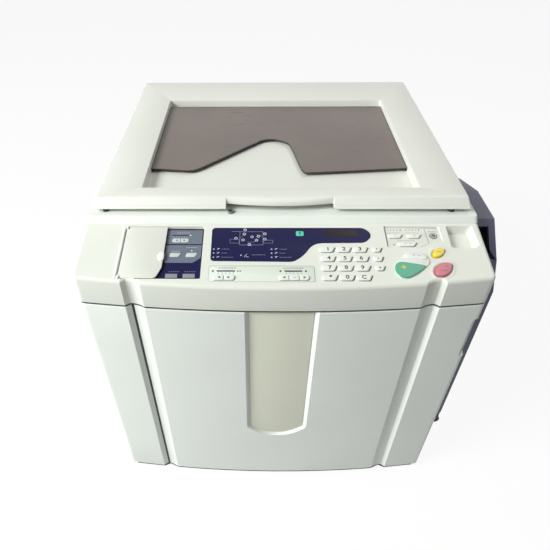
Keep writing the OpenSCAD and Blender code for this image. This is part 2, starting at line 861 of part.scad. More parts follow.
module tray_knobs() {
    color("#1d1e22") for (s = [-1, 1]) translate([pivot_x, s * (tray_half + pin_past), tray_pivot_z])
        rotate([-90 * s, 0, 0]) cylinder(h = knob_t, r = lug_r);
}

module receiving_tray() {
    color("#2b2d45") difference() {
        union() {
            difference() {
                translate([tray_in, 0, 0]) rotate([90, 0, 90])
                    linear_extrude(tray_x - tray_in) tray_profile();
                translate([tray_in - 1, 0, 0]) rotate([90, 0, 90])
                    linear_extrude(tray_x - tray_t - tray_in + 1) tray_profile(tray_t, 1);
            }
            for (s = [0, 1]) mirror([0, s, 0]) translate([0, tray_half, 0]) rotate([90, 0, 0])
                linear_extrude(lug_t) {
                    translate([pivot_x, tray_pivot_z]) circle(lug_r);
                    translate([pivot_x - lug_r, tray_pivot_z]) square([2 * lug_r, lug_rise]);
                }
        }
        for (s = [-1, 1]) translate([pivot_x, s * (tray_half - lug_t / 2), tray_pivot_z])
            rotate([90, 0, 0]) cylinder(h = lug_t + 2, r = pivot_r + pin_fit, center = true);
        translate([tray_in + 1, (cut_mid[0] + cut_top) / 2 - tray_half, tray_top - cut_mid[1] / 2])
            rotate([atan2(cut_mid[1], cut_top - cut_mid[0]), 0, 0])
                translate([0, -grip_hole_l / 2, -tray_t * 2])
                    cube([grip_hole_w, grip_hole_l, tray_t * 4]);
    }
}

// Side guides for the paper, folded flat on the tray's floor
module paper_guides() {
    color("#34374f") for (s = [-1, 1])
        translate([tray_x - tray_t - guide_t, s * guide_y - guide_h / 2, tray_low + guide_low])
            cube([guide_t, guide_h, guide_l]);
}

// The feed tray folded up against the left side, seen as its plain outer shell
module feed_tray() {
    color("#2b2d45") translate([-half_w - feed_out, -feed_len / 2, feed_low])
        cube([feed_out, feed_len, feed_h]);
}

module feed_tray_hinges() {
    color("#26272d") for (s = [-1, 1]) translate([-half_w - feed_hinge[0],
        s * (feed_len / 2 - feed_hinge_in) - feed_hinge[1] / 2, feed_low - feed_hinge[2]])
        cube(feed_hinge);
}

feet();
base_pan();
chassis();
side_cover_left();
side_cover_right();
rear_cover();
power_inlet();
left_front_cover();
inner_panel();
drum_unit();
door_hinge_pins();
front_door();
name_plate();
control_housing();
sub_panel();
sub_panel_keys();
panel_flap();
display_panel();
display_window();
mode_lamp();
adjust_plate();
adjust_keys();
number_keys();
side_keys();
mode_plate();
mode_keys();
round_button();
start_key();
stop_key();
reset_key();
proof_key();
scanner_housing();
platen_glass();
lid_bumpers();
lid_sensor();
lid_hinge_pins();
lid_cover();
lid_sheet();
lid_pad();
tray_brackets();
tray_knobs();
receiving_tray();
paper_guides();
feed_tray();
feed_tray_hinges();
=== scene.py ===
# %% [markdown]
# # A desktop duplicator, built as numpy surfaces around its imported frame
#
# The machine is a white moulded box with a bowed front door, a sloping key panel, a flat scanner under
# a hinged lid and two folded paper trays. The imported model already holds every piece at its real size
# and place. Here each visible piece gets its final surface and its finish: soft moulded edges, a real
# relief of recesses and keys, and plastics with a fine grain.

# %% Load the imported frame
import json
import math

import bmesh
import bpy
import numpy as np
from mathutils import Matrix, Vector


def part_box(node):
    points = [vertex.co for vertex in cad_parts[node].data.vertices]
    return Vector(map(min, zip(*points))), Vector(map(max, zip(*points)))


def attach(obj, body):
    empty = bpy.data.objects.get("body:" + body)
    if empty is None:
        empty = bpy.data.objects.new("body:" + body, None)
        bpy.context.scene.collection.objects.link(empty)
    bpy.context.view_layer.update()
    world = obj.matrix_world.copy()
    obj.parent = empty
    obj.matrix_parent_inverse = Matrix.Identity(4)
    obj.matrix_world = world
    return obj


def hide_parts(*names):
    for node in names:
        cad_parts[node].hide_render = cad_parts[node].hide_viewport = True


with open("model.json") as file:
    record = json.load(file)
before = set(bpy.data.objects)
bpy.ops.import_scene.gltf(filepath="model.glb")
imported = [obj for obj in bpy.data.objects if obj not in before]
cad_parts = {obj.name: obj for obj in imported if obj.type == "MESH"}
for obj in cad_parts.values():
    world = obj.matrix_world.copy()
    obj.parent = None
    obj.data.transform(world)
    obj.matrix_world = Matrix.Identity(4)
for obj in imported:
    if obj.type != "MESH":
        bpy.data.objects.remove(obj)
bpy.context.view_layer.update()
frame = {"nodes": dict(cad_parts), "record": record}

# %% [markdown]
# ## Sizes
#
# A moulded product is drawn from a few driving sizes. Those that the frame can tell are measured from
# its nodes, so that a change there carries through. The rest are the few that no box shows: the slope
# of the key panel, the bow of the front and the section of its upright grooves.

# %% Driving sizes, in metres
MM = 0.001
housing_lo, housing_hi = np.array(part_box("control_housing"))
door_lo, door_hi = np.array(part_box("front_door"))
scan_lo, scan_hi = np.array(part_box("scanner_housing"))
lid_lo, lid_hi = np.array(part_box("lid_cover"))
HALF_W = housing_hi[0]
HALF_D = -housing_lo[1]
BOW = 20 * MM
TILT = math.radians(10.8)
CORNER_Y = BOW - HALF_D
PANEL_Z = housing_hi[2] - (housing_hi[1] - CORNER_Y) * math.tan(TILT)
BOW_R = (HALF_W**2 + BOW**2) / (2 * BOW)
GROOVE_X = 230 * MM
GROOVE_SOFT = 22.4 * MM
GROOVE_STEEP = 7 * MM
GROOVE_DEEP = 6 * MM
GROOVE_FLAT = 2.7 * MM
DOOR_TOP = door_hi[2] / MM
FOOT = door_lo[2] / MM
RIM = DOOR_TOP - 0.8
BREAKS = np.array([207.6, 230, 237])
print("panel: corner at y %.3f, z %.3f; door from %.0f to %.0f mm" % (CORNER_Y, PANEL_Z, FOOT, DOOR_TOP))


def bow_y(x):
    """Front line in plan: a circle of radius BOW_R through both corners, BOW ahead in the middle."""
    return BOW_R - HALF_D - np.sqrt(BOW_R**2 - np.asarray(x) ** 2)


def groove(x):
    """Depth of the upright grooves: a straight steep side outwards and a hollow inwards, which follows
    a parabola: lowest a little way from the steep side, and steepest at its front crease."""
    d = np.abs(x) - GROOVE_X
    steep = np.clip(1 - d / GROOVE_STEEP, 0, 1)
    soft = 1 - ((np.clip(-d, 0, GROOVE_SOFT) - GROOVE_FLAT) / (GROOVE_SOFT - GROOVE_FLAT)) ** 2
    return GROOVE_DEEP * np.where(d > 0, steep * soft, soft)


def round_off(distance, r):
    """How far an edge of radius r falls back, at a distance from the edge: r - sqrt(r^2 - (r - d)^2)."""
    d = np.clip(r - distance, 0, r)
    return r - np.sqrt(r * r - d * d)


# %% [markdown]
# ## Camera and light
#
# The camera looks down over the front of the machine, a little to the left of its middle, as somebody
# standing before it would. Two large soft lamps stand at the left, a weak one behind and another high
# in front, in a dim room. The walls that face left read bright and those that face right read grey,
# which draws every groove and bevel. The pale floor shows nearly white to the camera.

# %% Camera
scene = bpy.context.scene
camera_data = bpy.data.cameras.new("camera")
camera_data.sensor_width = 36
camera_data.lens = 32.69
camera_data.shift_x = 0.0432
camera_data.shift_y = 0.0443
camera = bpy.data.objects.new("camera", camera_data)
camera.location = (-0.0361, -0.8557, 1.0131)
camera.rotation_euler = (math.radians(46.86), math.radians(0.41), math.radians(0.67))
scene.collection.objects.link(camera)
scene.camera = camera
scene.view_settings.view_transform = "Standard"
print("camera at", [round(c, 2) for c in camera.location])

# %% Lamps
LAMP_SIZE, LAMP_AIM = 1.2, (0, 0, 0.45)
COOL, WARM = (0.955, 1, 0.965), (1, 0.995, 0.945)
for name, place, power, colour in (("key_lamp", (-2.2, -1.3, 2.3), 97, COOL),
                                   ("low_lamp", (-3.0, -0.9, 0.9), 46, COOL),
                                   ("back_lamp", (0.9, 0.5, 2.2), 9, WARM),
                                   ("front_lamp", (0, -1.4, 2.8), 5, WARM)):
    lamp_data = bpy.data.lights.new(name, "AREA")
    lamp_data.shape, lamp_data.size = "SQUARE", LAMP_SIZE
    lamp_data.energy, lamp_data.color = power, colour
    lamp = bpy.data.objects.new(name, lamp_data)
    way = np.subtract(LAMP_AIM, place)
    lamp.location = place
    lamp.rotation_euler = (math.atan2(math.hypot(*way[:2]), -way[2]), 0, math.atan2(-way[0], way[1]))
    lamp.visible_camera = False
    scene.collection.objects.link(lamp)


# %% Nodes
def wire(tree, node, inputs):
    """Links each input of a node to the socket that is given for it, or sets it to the value."""
    for key, value in inputs.items():
        if isinstance(value, bpy.types.NodeSocket):
            tree.links.new(value, node.inputs[key])
        else:
            node.inputs[key].default_value = value
    return node


def add_node(tree, kind, inputs):
    """A new shader node with its inputs linked or set."""
    return wire(tree, tree.nodes.new("ShaderNode" + kind), inputs)


def maths(tree, operation, a, b):
    """The outcome of one operation on two sockets or numbers."""
    node = add_node(tree, "Math", {0: a, 1: b})
    node.operation = operation
    return node.outputs[0]


def camera_white(tree, lit, white, share):
    """Mixes a lit shader with a share of plain white, which camera, mirror and glass rays see."""
    ray = add_node(tree, "LightPath", {}).outputs
    mirrored = maths(tree, "MAXIMUM", ray["Is Glossy Ray"], ray["Is Transmission Ray"])
    seen = maths(tree, "MAXIMUM", ray["Is Camera Ray"], mirrored)
    part = maths(tree, "MULTIPLY", seen, share)
    return add_node(tree, "MixShader", {0: part, 1: lit.outputs[0], 2: white.outputs[0]}).outputs[0]


# %% World
ROOM, ROOM_GLOW = (0.95, 0.98, 1, 1), 0.1
WHITE, WHITE_GLOW = (1, 1, 1, 1), 1.05
world = bpy.data.worlds.new("room")
scene.world = world
world.use_nodes = True
tree = world.node_tree
tree.nodes.clear()
room = add_node(tree, "Background", {"Color": ROOM, "Strength": ROOM_GLOW})
plain_white = add_node(tree, "Background", {"Color": WHITE, "Strength": WHITE_GLOW})
add_node(tree, "OutputWorld", {0: camera_white(tree, room, plain_white, 1.0)})
print("lamps and world are in place")

# %% [markdown]
# ## Mesh helpers
#
# A surface on a grid is fast and exact: its points come from one array formula, and the faces follow
# from their row and column numbers. A closed piece is a stack of rings that is capped at both ends.
# Every ring has as many points as the next, so one formula of neighbours serves for all of them.

# %% Grids, rings and meshes
def quads(rows, cols, rows_closed=False):
    """Corner numbers of the squares between rings of cols points, which are stored ring by ring."""
    i = np.arange(rows if rows_closed else rows - 1)[:, None]
    j = np.arange(cols)[None, :]
    i2, j2 = (i + 1) % rows, (j + 1) % cols
    corners = [i * cols + j, i * cols + j2, i2 * cols + j2, i2 * cols + j]
    return np.stack([np.broadcast_to(c, (i.size, cols)) for c in corners], -1).reshape(-1, 4)


def volume(points, faces):
    """Signed volume of a closed mesh: the sum of point . (edge x edge) over fans of its faces."""
    total = 0.0
    for block in faces:
        p = points[block]
        for k in range(1, block.shape[1] - 1):
            total += np.einsum("ij,ij->", p[:, 0], np.cross(p[:, k], p[:, k + 1])) / 6
    return total


def shell(rings):
    """A closed shell from a stack of rings (k, n, 3): side squares and two end caps, facing out."""
    k, n, _ = rings.shape
    points = rings.reshape(-1, 3)
    faces = [quads(k, n), np.arange(n)[None, ::-1], (k - 1) * n + np.arange(n)[None]]
    if volume(points, faces) < 0:
        faces = [block[:, ::-1] for block in faces]
    return points, faces


def placed(name, mesh, body, replaces):
    """Puts a mesh into the scene as an object that rides on a body and can stand for a node."""
    made = bpy.data.objects.new(name, mesh)
    scene.collection.objects.link(made)
    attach(made, body)
    if replaces:
        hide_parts(replaces)
    return made


def piece(name, finish, shells, replaces=None, body="machine", crease=32):
    """Makes one object from closed shells, smooth but for edges sharper than crease degrees."""
    points = np.concatenate([p for p, _ in shells])
    starts = np.cumsum([0] + [len(p) for p, _ in shells])
    faces = [face for (_, blocks), start in zip(shells, starts)
             for block in blocks for face in (block + start).tolist()]
    mesh = bpy.data.meshes.new(name)
    mesh.from_pydata(points, [], faces)
    mesh.validate()
    mesh.shade_smooth()
    mesh.set_sharp_from_angle(angle=math.radians(crease))
    mesh.materials.append(FINISH[finish])
    print("%s: %d points, %d faces" % (name, len(points), len(mesh.polygons)))
    return placed(name, mesh, body, replaces)


# %% Outlines
def rounded(corners, radii, steps=7):
    """A polygon with an arc in each corner, tangent to both sides, as steps points on each arc. Its
    plane is taken for the complex one, where a turn is a product."""
    p = np.asarray(corners) @ [1, 1j]
    before, after = np.roll(p, 1) - p, np.roll(p, -1) - p
    before, after = before / abs(before), after / abs(after)
    half = np.arccos(np.clip((before * after.conj()).real, -1, 1)) / 2
    middle = before + after
    centre = p + middle / abs(middle) * radii / np.sin(half)
    start, end = (p + way * radii / np.tan(half) - centre for way in (before, after))
    sweep = np.angle(end / start)[:, None] * np.linspace(0, 1, steps)
    arcs = (centre[:, None] + start[:, None] * np.exp(1j * sweep)).ravel()
    return np.stack([arcs.real, arcs.imag], -1)


def box_outline(x0, x1, y0, y1, r, steps=7):
    """A rounded rectangle."""
    return rounded([(x0, y0), (x1, y0), (x1, y1), (x0, y1)], r, steps)


def circle_outline(x, y, r, n=40):
    """A circle of n points."""
    a = np.linspace(0, 2 * np.pi, n, endpoint=False)
    return np.stack([x + r * np.cos(a), y + r * np.sin(a)], -1)


def curve_through(points, steps=8):
    """A smooth closed curve through points: each stretch is a cubic that shares its end slopes."""
    p = np.array(points, float)
    slope = (np.roll(p, -1, 0) - np.roll(p, 1, 0)) / 2
    q, slope2 = np.roll(p, -1, 0), np.roll(slope, -1, 0)
    t = np.linspace(0, 1, steps, endpoint=False)[None, :, None]
    h = [2 * t**3 - 3 * t**2 + 1, t**3 - 2 * t**2 + t, 3 * t**2 - 2 * t**3, t**3 - t**2]
    return sum(w * v[:, None] for w, v in zip(h, (p, slope, q, slope2))).reshape(-1, 2)


def side_normals(outline):
    """Unit normals of an outline's points, pointing out, lengthened at corners to keep an even inset."""
    p = np.asarray(outline)
    area = np.sum(p[:, 0] * np.roll(p[:, 1], -1) - np.roll(p[:, 0], -1) * p[:, 1])
    step = np.roll(p, -1, 0) - p
    step /= np.maximum(np.linalg.norm(step, axis=1), 1e-12)[:, None]
    normal = np.stack([step[:, 1], -step[:, 0]], -1) * np.sign(area)
    mean = normal + np.roll(normal, 1, 0)
    mean /= np.linalg.norm(mean, axis=1)[:, None]
    return mean / np.maximum((mean * normal).sum(1), 0.5)[:, None]


def inset(outline, d):
    """The outline moved inwards by d."""
    return np.asarray(outline) - side_normals(outline) * d


def lifted(outline, height):
    """The points (n, 3) of an outline at one height."""
    return np.concatenate([outline, np.full((len(outline), 1), height)], 1)


def stack(levels, place=None):
    """A shell from (outline, height) pairs, in order."""
    points = np.stack([lifted(*level) for level in levels])
    return shell(place(points) if place else points)


def slab(outline, low, high, top_r=0.0, place=None, steps=5, crown=0.0):
    """An outline carried from low to high, its top rim rounded by a quarter circle, its top crowned."""
    levels = [(outline, low)]
    for a in np.linspace(0, np.pi / 2, steps) if top_r > 0 else [0.0]:
        levels.append((inset(outline, top_r * (1 - math.cos(a))), high - top_r * (1 - math.sin(a))))
    if crown > 0:
        rim, middle = levels[-1][0], levels[-1][0].mean(0)
        levels += [(middle + (rim - middle) * share, high + crown * (1 - share * share))
                   for share in (0.8, 0.55, 0.28)]
    return stack(levels, place)


def turned(profile, place, n=36):
    """A closed solid from (radius, height) pairs: point = (r cos a, r sin a, h), then placed."""
    a = np.linspace(0, 2 * np.pi, n, endpoint=False)
    rings = [np.stack([r * np.cos(a), r * np.sin(a), np.full(n, h)], -1) for r, h in profile]
    return shell(place(np.stack(rings)))


def on_panel(points):
    """Turns (x, v, lift) into the machine's frame: v runs up the slope, lift stands square to it."""
    x, v, w = points[..., 0], points[..., 1], points[..., 2]
    y = CORNER_Y + v * math.cos(TILT) - w * math.sin(TILT)
    z = PANEL_Z + v * math.sin(TILT) + w * math.cos(TILT)
    return np.stack([x, y, z], -1)


# %% [markdown]
# ## Finishes
#
# Moulded plastic is never one flat colour. It has a fine grain from the tool, broad and faint drifts of
# tone from age, and a gloss that changes a little where hands have polished it. All of them are noise in
# the object's own coordinates, at different scales, so that the pattern stays with the piece.

# %% Plastic
def material(name, colour, rough, drift, grain=0.04, fineness=1400.0,
             coat=0.0, metal=0.0, alpha=1.0, scuffs=0.0, glow=0.0, shine=0.5):
    """A finish: broad noise drifts the colour, fine noise lifts the surface as grain, a middle noise
    moves the gloss, and thin stretched noise draws scuffs."""
    made = bpy.data.materials.new(name)
    made.use_nodes = True
    tree = made.node_tree
    shader = tree.nodes["Principled BSDF"]
    own_place = add_node(tree, "TexCoord", {}).outputs["Object"]

    def noise(scale, detail, stretch=None):
        """Noise over the object's own coordinates, which can be stretched and turned first."""
        place = own_place
        if stretch:
            turned_place = {"Vector": place, "Scale": stretch, "Rotation": (0.1, 0.2, 0.5)}
            place = add_node(tree, "Mapping", turned_place).outputs["Vector"]
        inputs = {"Vector": place, "Scale": scale, "Detail": detail}
        return add_node(tree, "TexNoise", inputs).outputs["Fac"]

    def ramp(source, low, high, at=(0.35, 0.65)):
        """Colours from low to high as the source rises through the two places at."""
        node = add_node(tree, "ValToRGB", {"Fac": source})
        for element, position, tone in zip(node.color_ramp.elements, at, (low, high)):
            element.position, element.color = position, (*tone, 1)
        return node.outputs["Color"]

    base = np.array(colour, float)
    shown = ramp(noise(5.5, 3), base * (1 - 2 * drift), np.clip(base * (1 + drift), 0, 1))
    if scuffs:
        streaks = ramp(noise(26, 5, (1, 5, 1)), (0, 0, 0), (1, 1, 1), (0.58, 0.68))
        patches = ramp(noise(9, 2), (0, 0, 0), (1, 1, 1), (0.5, 0.62))
        blend = tree.nodes.new("ShaderNodeMix")
        blend.data_type = "RGBA"
        wire(tree, blend, {"Factor": maths(tree, "MULTIPLY", streaks, patches), "A": shown,
                           "B": (*(base * (1 - scuffs)), 1)})
        shown = blend.outputs["Result"]
    gloss = {"Value": noise(40, 4), "To Min": rough * 0.88, "To Max": min(1.0, rough * 1.14)}
    bump = {"Height": noise(fineness, 2), "Strength": grain, "Distance": 0.0004}
    wire(tree, shader, {
        "Base Color": shown, "Roughness": add_node(tree, "MapRange", gloss).outputs["Result"],
        "Normal": add_node(tree, "Bump", bump).outputs["Normal"], "Metallic": metal,
        "Specular IOR Level": shine, "Coat Weight": coat, "Coat Roughness": 0.08, "Alpha": alpha})
    if glow:
        wire(tree, shader, {"Emission Color": (*base, 1), "Emission Strength": glow})
    return made


# %% Table of finishes
# Each name with its colour, roughness, drift of the colour, and strength and fineness of the grain.
LOOKS = {
    "housing_white": ((0.81, 0.835, 0.795), 0.4, 0.012),
    # The left side cover takes a darker copy of the housing white: painted shade, so that the strong left
    # lamps do not wash it out.
    "side_white_painted_shade": ((0.66, 0.675, 0.65), 0.45, 0.012),
    # The key panel's housing takes a darker, slightly warmer copy of the housing white; the darkening is
    # painted shade from the lid and scanner above it.
    "panel_white_painted_shade": ((0.775, 0.78, 0.72), 0.42, 0.012),
    "lid_white": ((0.80, 0.797, 0.745), 0.4, 0.012),
    "plate_beige": ((0.74, 0.74, 0.62), 0.45, 0.015),
    "navy": ((0.012, 0.012, 0.062), 0.4, 0.04, 0.02),
    "slate": ((0.16, 0.185, 0.235), 0.4, 0.03, 0.02),
    "key_white": ((0.82, 0.83, 0.79), 0.35, 0.015),
    "key_grey": ((0.62, 0.64, 0.66), 0.35, 0.02),
    "teal": ((0.065, 0.36, 0.23), 0.35, 0.03, 0.03),
    "pink": ((0.56, 0.155, 0.20), 0.35, 0.03, 0.03),
    "yellow": ((0.92, 0.66, 0.02), 0.3, 0.03, 0.03),
    "smoked": ((0.195, 0.158, 0.143), 0.3, 0.05, 0.05, 500),
    "smoked_edge": ((0.035, 0.028, 0.028), 0.4, 0.05),
    "window": ((0.022, 0.014, 0.016), 0.35, 0.05, 0.01),
    "lamp": ((0.06, 0.50, 0.33), 0.25, 0.05, 0.02),
    "mode_grey": ((0.76, 0.77, 0.71), 0.42, 0.015),
    "pale_plate": ((0.72, 0.77, 0.70), 0.4, 0.01),
    "ink": ((0.02, 0.02, 0.022), 0.5, 0.1),
    "white_ink": ((0.72, 0.73, 0.80), 0.5, 0.03),
    "grey_ink": ((0.30, 0.31, 0.42), 0.5, 0.03),
    "tray": ((0.098, 0.103, 0.165), 0.45, 0.05, 0.08),
    "black": ((0.012, 0.012, 0.015), 0.5, 0.1, 0.08),
    "rubber": ((0.015, 0.015, 0.016), 0.75, 0.1, 0.15),
    "dark_metal": ((0.045, 0.047, 0.055), 0.5, 0.05, 0.03),
    "inner_grey": ((0.52, 0.54, 0.52), 0.5, 0.03),
    "slate_drum": ((0.09, 0.11, 0.145), 0.45, 0.05),
    "steel": ((0.55, 0.56, 0.58), 0.32, 0.04, 0.02),
    "glass": ((0.30, 0.36, 0.35), 0.06, 0.02, 0.0),
    "pad": ((0.88, 0.88, 0.85), 0.35, 0.01),
    "grey_line": ((0.20, 0.21, 0.21), 0.5, 0.05),
    # The gap finish is the dark of the key openings and of the painted shadow at their lower right.
    "gap_shadow_grey": ((0.17, 0.17, 0.165), 0.6, 0.05),
    "dim_key": ((0.25, 0.26, 0.295), 0.4, 0.03),
    "flap_white": ((0.76, 0.765, 0.71), 0.38, 0.02, 0.06, 900),
    "start_ink": ((0.55, 0.60, 0.12), 0.5, 0.05),
    "stop_ink": ((0.35, 0.10, 0.14), 0.5, 0.05),
    "button": ((0.13, 0.135, 0.14), 0.4, 0.05),
}
EXTRAS = {
    "navy": {"shine": 0.12}, "slate": {"shine": 0.25}, "teal": {"coat": 0.15}, "pink": {"coat": 0.15},
    "yellow": {"coat": 0.3}, "smoked": {"scuffs": 0.28, "alpha": 0.93, "shine": 0.35},
    "window": {"shine": 0.15}, "lamp": {"glow": 0.15}, "dark_metal": {"metal": 0.4},
    "steel": {"metal": 1.0}, "glass": {"coat": 0.6},
}
FINISH = {name: material(name, *look, **EXTRAS.get(name, {})) for name, look in LOOKS.items()}
print("finishes:", len(FINISH))

# %% [markdown]
# ## Recesses in a height field
#
# The key panel is one moulding with pockets, wells and raised beads in it. It could be cut with
# booleans, which leave long thin faces and sharp rims. Here the panel is a fine grid that sinks between
# two outlines, a rim and a floor. The grid points next to an outline are first moved on to it, which
# keeps each rim and each floor edge crisp, and gives every wall the draft that a mould needs.

# %% Distances and carving
def distance_to(outline, x, y):
    """Signed distance to an outline, negative inside, and the nearest point on it: every point is
    dropped on to every side at once, and the shortest drop counts."""
    a = np.asarray(outline)
    e = np.roll(a, -1, 0) - a
    dx, dy = x[:, None] - a[:, 0], y[:, None] - a[:, 1]
    t = np.clip((dx * e[:, 0] + dy * e[:, 1]) / np.maximum((e**2).sum(1), 1e-18), 0, 1)
    px, py = a[:, 0] + t * e[:, 0], a[:, 1] + t * e[:, 1]
    d = np.hypot(x[:, None] - px, y[:, None] - py)
    row, best = np.arange(len(x)), d.argmin(1)
    rise = np.where(e[:, 1] == 0, 1e-18, e[:, 1])
    spans = (dy >= 0) != (y[:, None] >= a[:, 1] + e[:, 1])
    crossings = (spans & (dx < dy * e[:, 0] / rise)).sum(1)
    return np.where(crossings % 2, -1, 1) * d[row, best], px[row, best], py[row, best]


def near(outline, x, y, margin):
    """Marks the grid points inside an outline's box, widened by margin."""
    lo, hi = np.min(outline, 0) - margin, np.max(outline, 0) + margin
    return (x > lo[0]) & (x < hi[0]) & (y > lo[1]) & (y < hi[1])


def carve(x, y, depth, rim, floor, deep, cell=1.3 * MM):
    """Sinks depth from 0 at the rim to deep at the floor outline, in proportion to both distances."""
    at = near(rim, x, y, 2 * cell)
    px, py = x[at], y[at]
    for outline in (rim, floor):
        d, near_x, near_y = distance_to(outline, px, py)
        close = np.abs(d) < cell / 2
        px[close], py[close] = near_x[close], near_y[close]
    d_rim, d_floor = distance_to(rim, px, py)[0], distance_to(floor, px, py)[0]
    share = np.clip(-d_rim / np.maximum(d_floor - d_rim, 1e-9), 0, 1)
    share = np.where(d_floor <= 1e-9, 1, share)
    x[at], y[at] = px, py
    depth[at] = np.where(share > 0, depth[at] + (deep - depth[at]) * share, depth[at])


def bead(x, y, depth, outline, width, height):
    """Raises a rounded bead along an outline: height x (1 + cos(pi x distance / width)) / 2."""
    at = near(outline, x, y, width)
    d = distance_to(outline, x[at], y[at])[0]
    depth[at] -= height * (1 + np.cos(np.pi * np.clip(np.abs(d) / width, 0, 1))) / 2


def spaced(*spans):
    """Joined stretches of even steps: each span is (from, to, step)."""
    parts = [np.linspace(a, b, max(2, int(round(abs(b - a) / s)) + 1)) for a, b, s in spans]
    values = np.unique(np.round(np.concatenate(parts), 4))
    return values[np.concatenate([[True], np.diff(values) > 0.05])]


def stations(*parts, digits=2):
    """Rising stations in metres from stretches in millimetres, without doubles."""
    return np.unique(np.round(np.concatenate(parts), digits)) * MM


# %% [markdown]
# ## Control housing
#
# The housing is the long moulding that carries all the keys. Its front is bowed in plan, a soft radius
# leads up into the slope, and the two grooves of the front fade out in that radius. Each column of the
# grid is one closed section from front to back, and the sections follow each other across the machine.

# %% Outlines on the key panel
def mm(points):
    """Millimetres to metres, as an array."""
    return np.array(points, float) * MM


def drawn(points):
    """Millimetres of the panel's drawing to metres on the slope. A moulding shrinks by 0.7 percent as
    it cools, and the drawing's origin lies a little right of the middle and above the corner line."""
    return (np.array(points, float) * 0.993 + np.array([1.2, 1.4])) * MM


def panel_shape(points, radii, steps=7):
    """A polygon of the panel's drawing with rounded corners."""
    return rounded(drawn(points), mm(radii), steps)


def panel_box(x0, x1, v0, v1, r, steps=7):
    """A rounded rectangle of the panel's drawing."""
    return panel_shape([(x0, v0), (x1, v0), (x1, v1), (x0, v1)], r, steps)


def panel_curve(*points):
    """A smooth closed curve of the panel's drawing."""
    return curve_through(drawn(points))


start_key_outline = panel_curve((164.6, 16), (166.6, 22.6), (172, 26.8), (181, 26.8), (190.6, 24.9),
    (203, 22.4), (210.4, 19.6), (207.6, 15.4), (201, 9.2), (192.8, 3.2), (184.8, -1.4), (177.3, -3.2),
    (171.2, -1.8), (166.8, 2.6), (164.7, 9))
proof_key_outline = panel_curve((183.4, 40.2), (187.9, 43.9), (194.8, 44.8), (207.3, 43.6), (213.8, 40.2),
    (215.3, 35.6), (211.8, 32.2), (203, 32.8), (190.6, 34.2), (184, 36.4))
reset_key_outline = panel_curve((225.4, 43.8), (229.4, 51), (236.4, 54.4), (242.4, 54), (244.2, 50.8),
    (240.6, 43.4), (235.1, 38.6), (229.6, 37.4), (225.9, 39.4))
stop_key_outline = panel_curve((222.3, 11.4), (225.7, 18.5), (233.2, 24.2), (240.9, 26.4), (247.5, 25.1),
    (249.3, 21), (245.2, 10.4), (239, 3.9), (232, 0.7), (226, 1.5), (222.4, 5.3))
key_base = panel_curve((164.6, 16), (166.4, 23.5), (172, 29.5), (180, 36), (181.4, 41.5), (187, 45.6),
    (194.5, 46.6), (207, 45.8), (215, 42.3), (218.3, 35), (218.4, 28), (214, 20.5), (206, 12.8), (193, 2.4),
    (184.6, -1.8), (177, -3.6), (171, -2.2), (166.4, 2.6), (164.6, 9))
sub_rim = panel_box(-246.6, -122.2, -4, 101.8, 2)
pocket_rim = panel_shape([(257.7, 57.4), (294.5, 56.7), (301.5, 63.1), (298.9, 103.4), (257.7, 103.4)], 4)
pocket_floor = panel_shape([(260, 59), (291, 59), (294.5, 62.5), (293.5, 97), (262, 98)], [3, 3, 3, 4, 5])
mode_rim = panel_shape([(160.2, 58.8), (211.4, 58.6), (224.7, 66.5), (244.7, 68.8), (247.6, 73.2),
    (246.4, 102), (160.2, 103)], [2, 8, 10, 4, 3, 2, 2])
print("start key outline:", len(start_key_outline), "points")

# %% Sections of the housing
EDGE_R, SIDE_R, CORNER_R, SEAM_R = 6 * MM, 5 * MM, 8 * MM, 1 * MM
KNEE_V, KNEE_ROOM = 8 * MM, 6 * MM
edge_turn = math.pi / 2 - TILT
edge_reach = EDGE_R * math.tan(edge_turn / 2)
corner_columns = (HALF_W - CORNER_R + CORNER_R * np.sin(np.linspace(0, np.pi / 2, 10))) / MM
corner_start = corner_columns[0]
columns = stations(spaced((-corner_start, corner_start, 1.3)), BREAKS, -BREAKS, corner_columns,
                   -corner_columns, digits=3)
columns = columns[np.concatenate([[True], np.diff(columns) > 0.2 * MM])]
columns[0], columns[-1] = -HALF_W, HALF_W
from_side = HALF_W - np.abs(columns)
front = bow_y(columns) + groove(columns) + round_off(from_side, CORNER_R)
start_v = ((front - CORNER_Y) / math.cos(TILT) + edge_reach)[:, None]
knee_v = np.maximum(KNEE_V, start_v + KNEE_ROOM)
back_v = (housing_hi[1] - CORNER_Y) / math.cos(TILT)
low_v = start_v + (knee_v - start_v) * np.linspace(0, 1, 24)[None, :-1]
high_v = knee_v + (back_v - knee_v) * np.linspace(0, 1, 96)[None]
panel_v = np.concatenate([low_v, high_v], 1)
panel_x = np.repeat(columns[:, None], panel_v.shape[1], 1)
depth = np.zeros_like(panel_v)
print("panel grid: %d columns x %d rows" % panel_v.shape)

# %% Recesses, wells and beads of the key panel
BAY_DEEP, POCKET_DEEP, MODE_DEEP, WELL_DEEP, WALL = mm([5, 12, 3, 2.2, 1.2])
carve(panel_x, panel_v, depth, sub_rim, inset(sub_rim, WALL), BAY_DEEP)
carve(panel_x, panel_v, depth, pocket_rim, pocket_floor, POCKET_DEEP)
carve(panel_x, panel_v, depth, mode_rim, inset(mode_rim, WALL), MODE_DEEP)
for outline in (reset_key_outline, stop_key_outline):
    carve(panel_x, panel_v, depth, inset(outline, -1.9 * MM), inset(outline, -0.6 * MM), WELL_DEEP)
bead(panel_x, panel_v, depth, inset(stop_key_outline, -4.2 * MM), 2.4 * MM, 0.7 * MM)
bead(panel_x, panel_v, depth, inset(reset_key_outline, -3.6 * MM), 2.0 * MM, 0.5 * MM)
print("deepest recess: %.1f mm" % (depth.max() / MM))

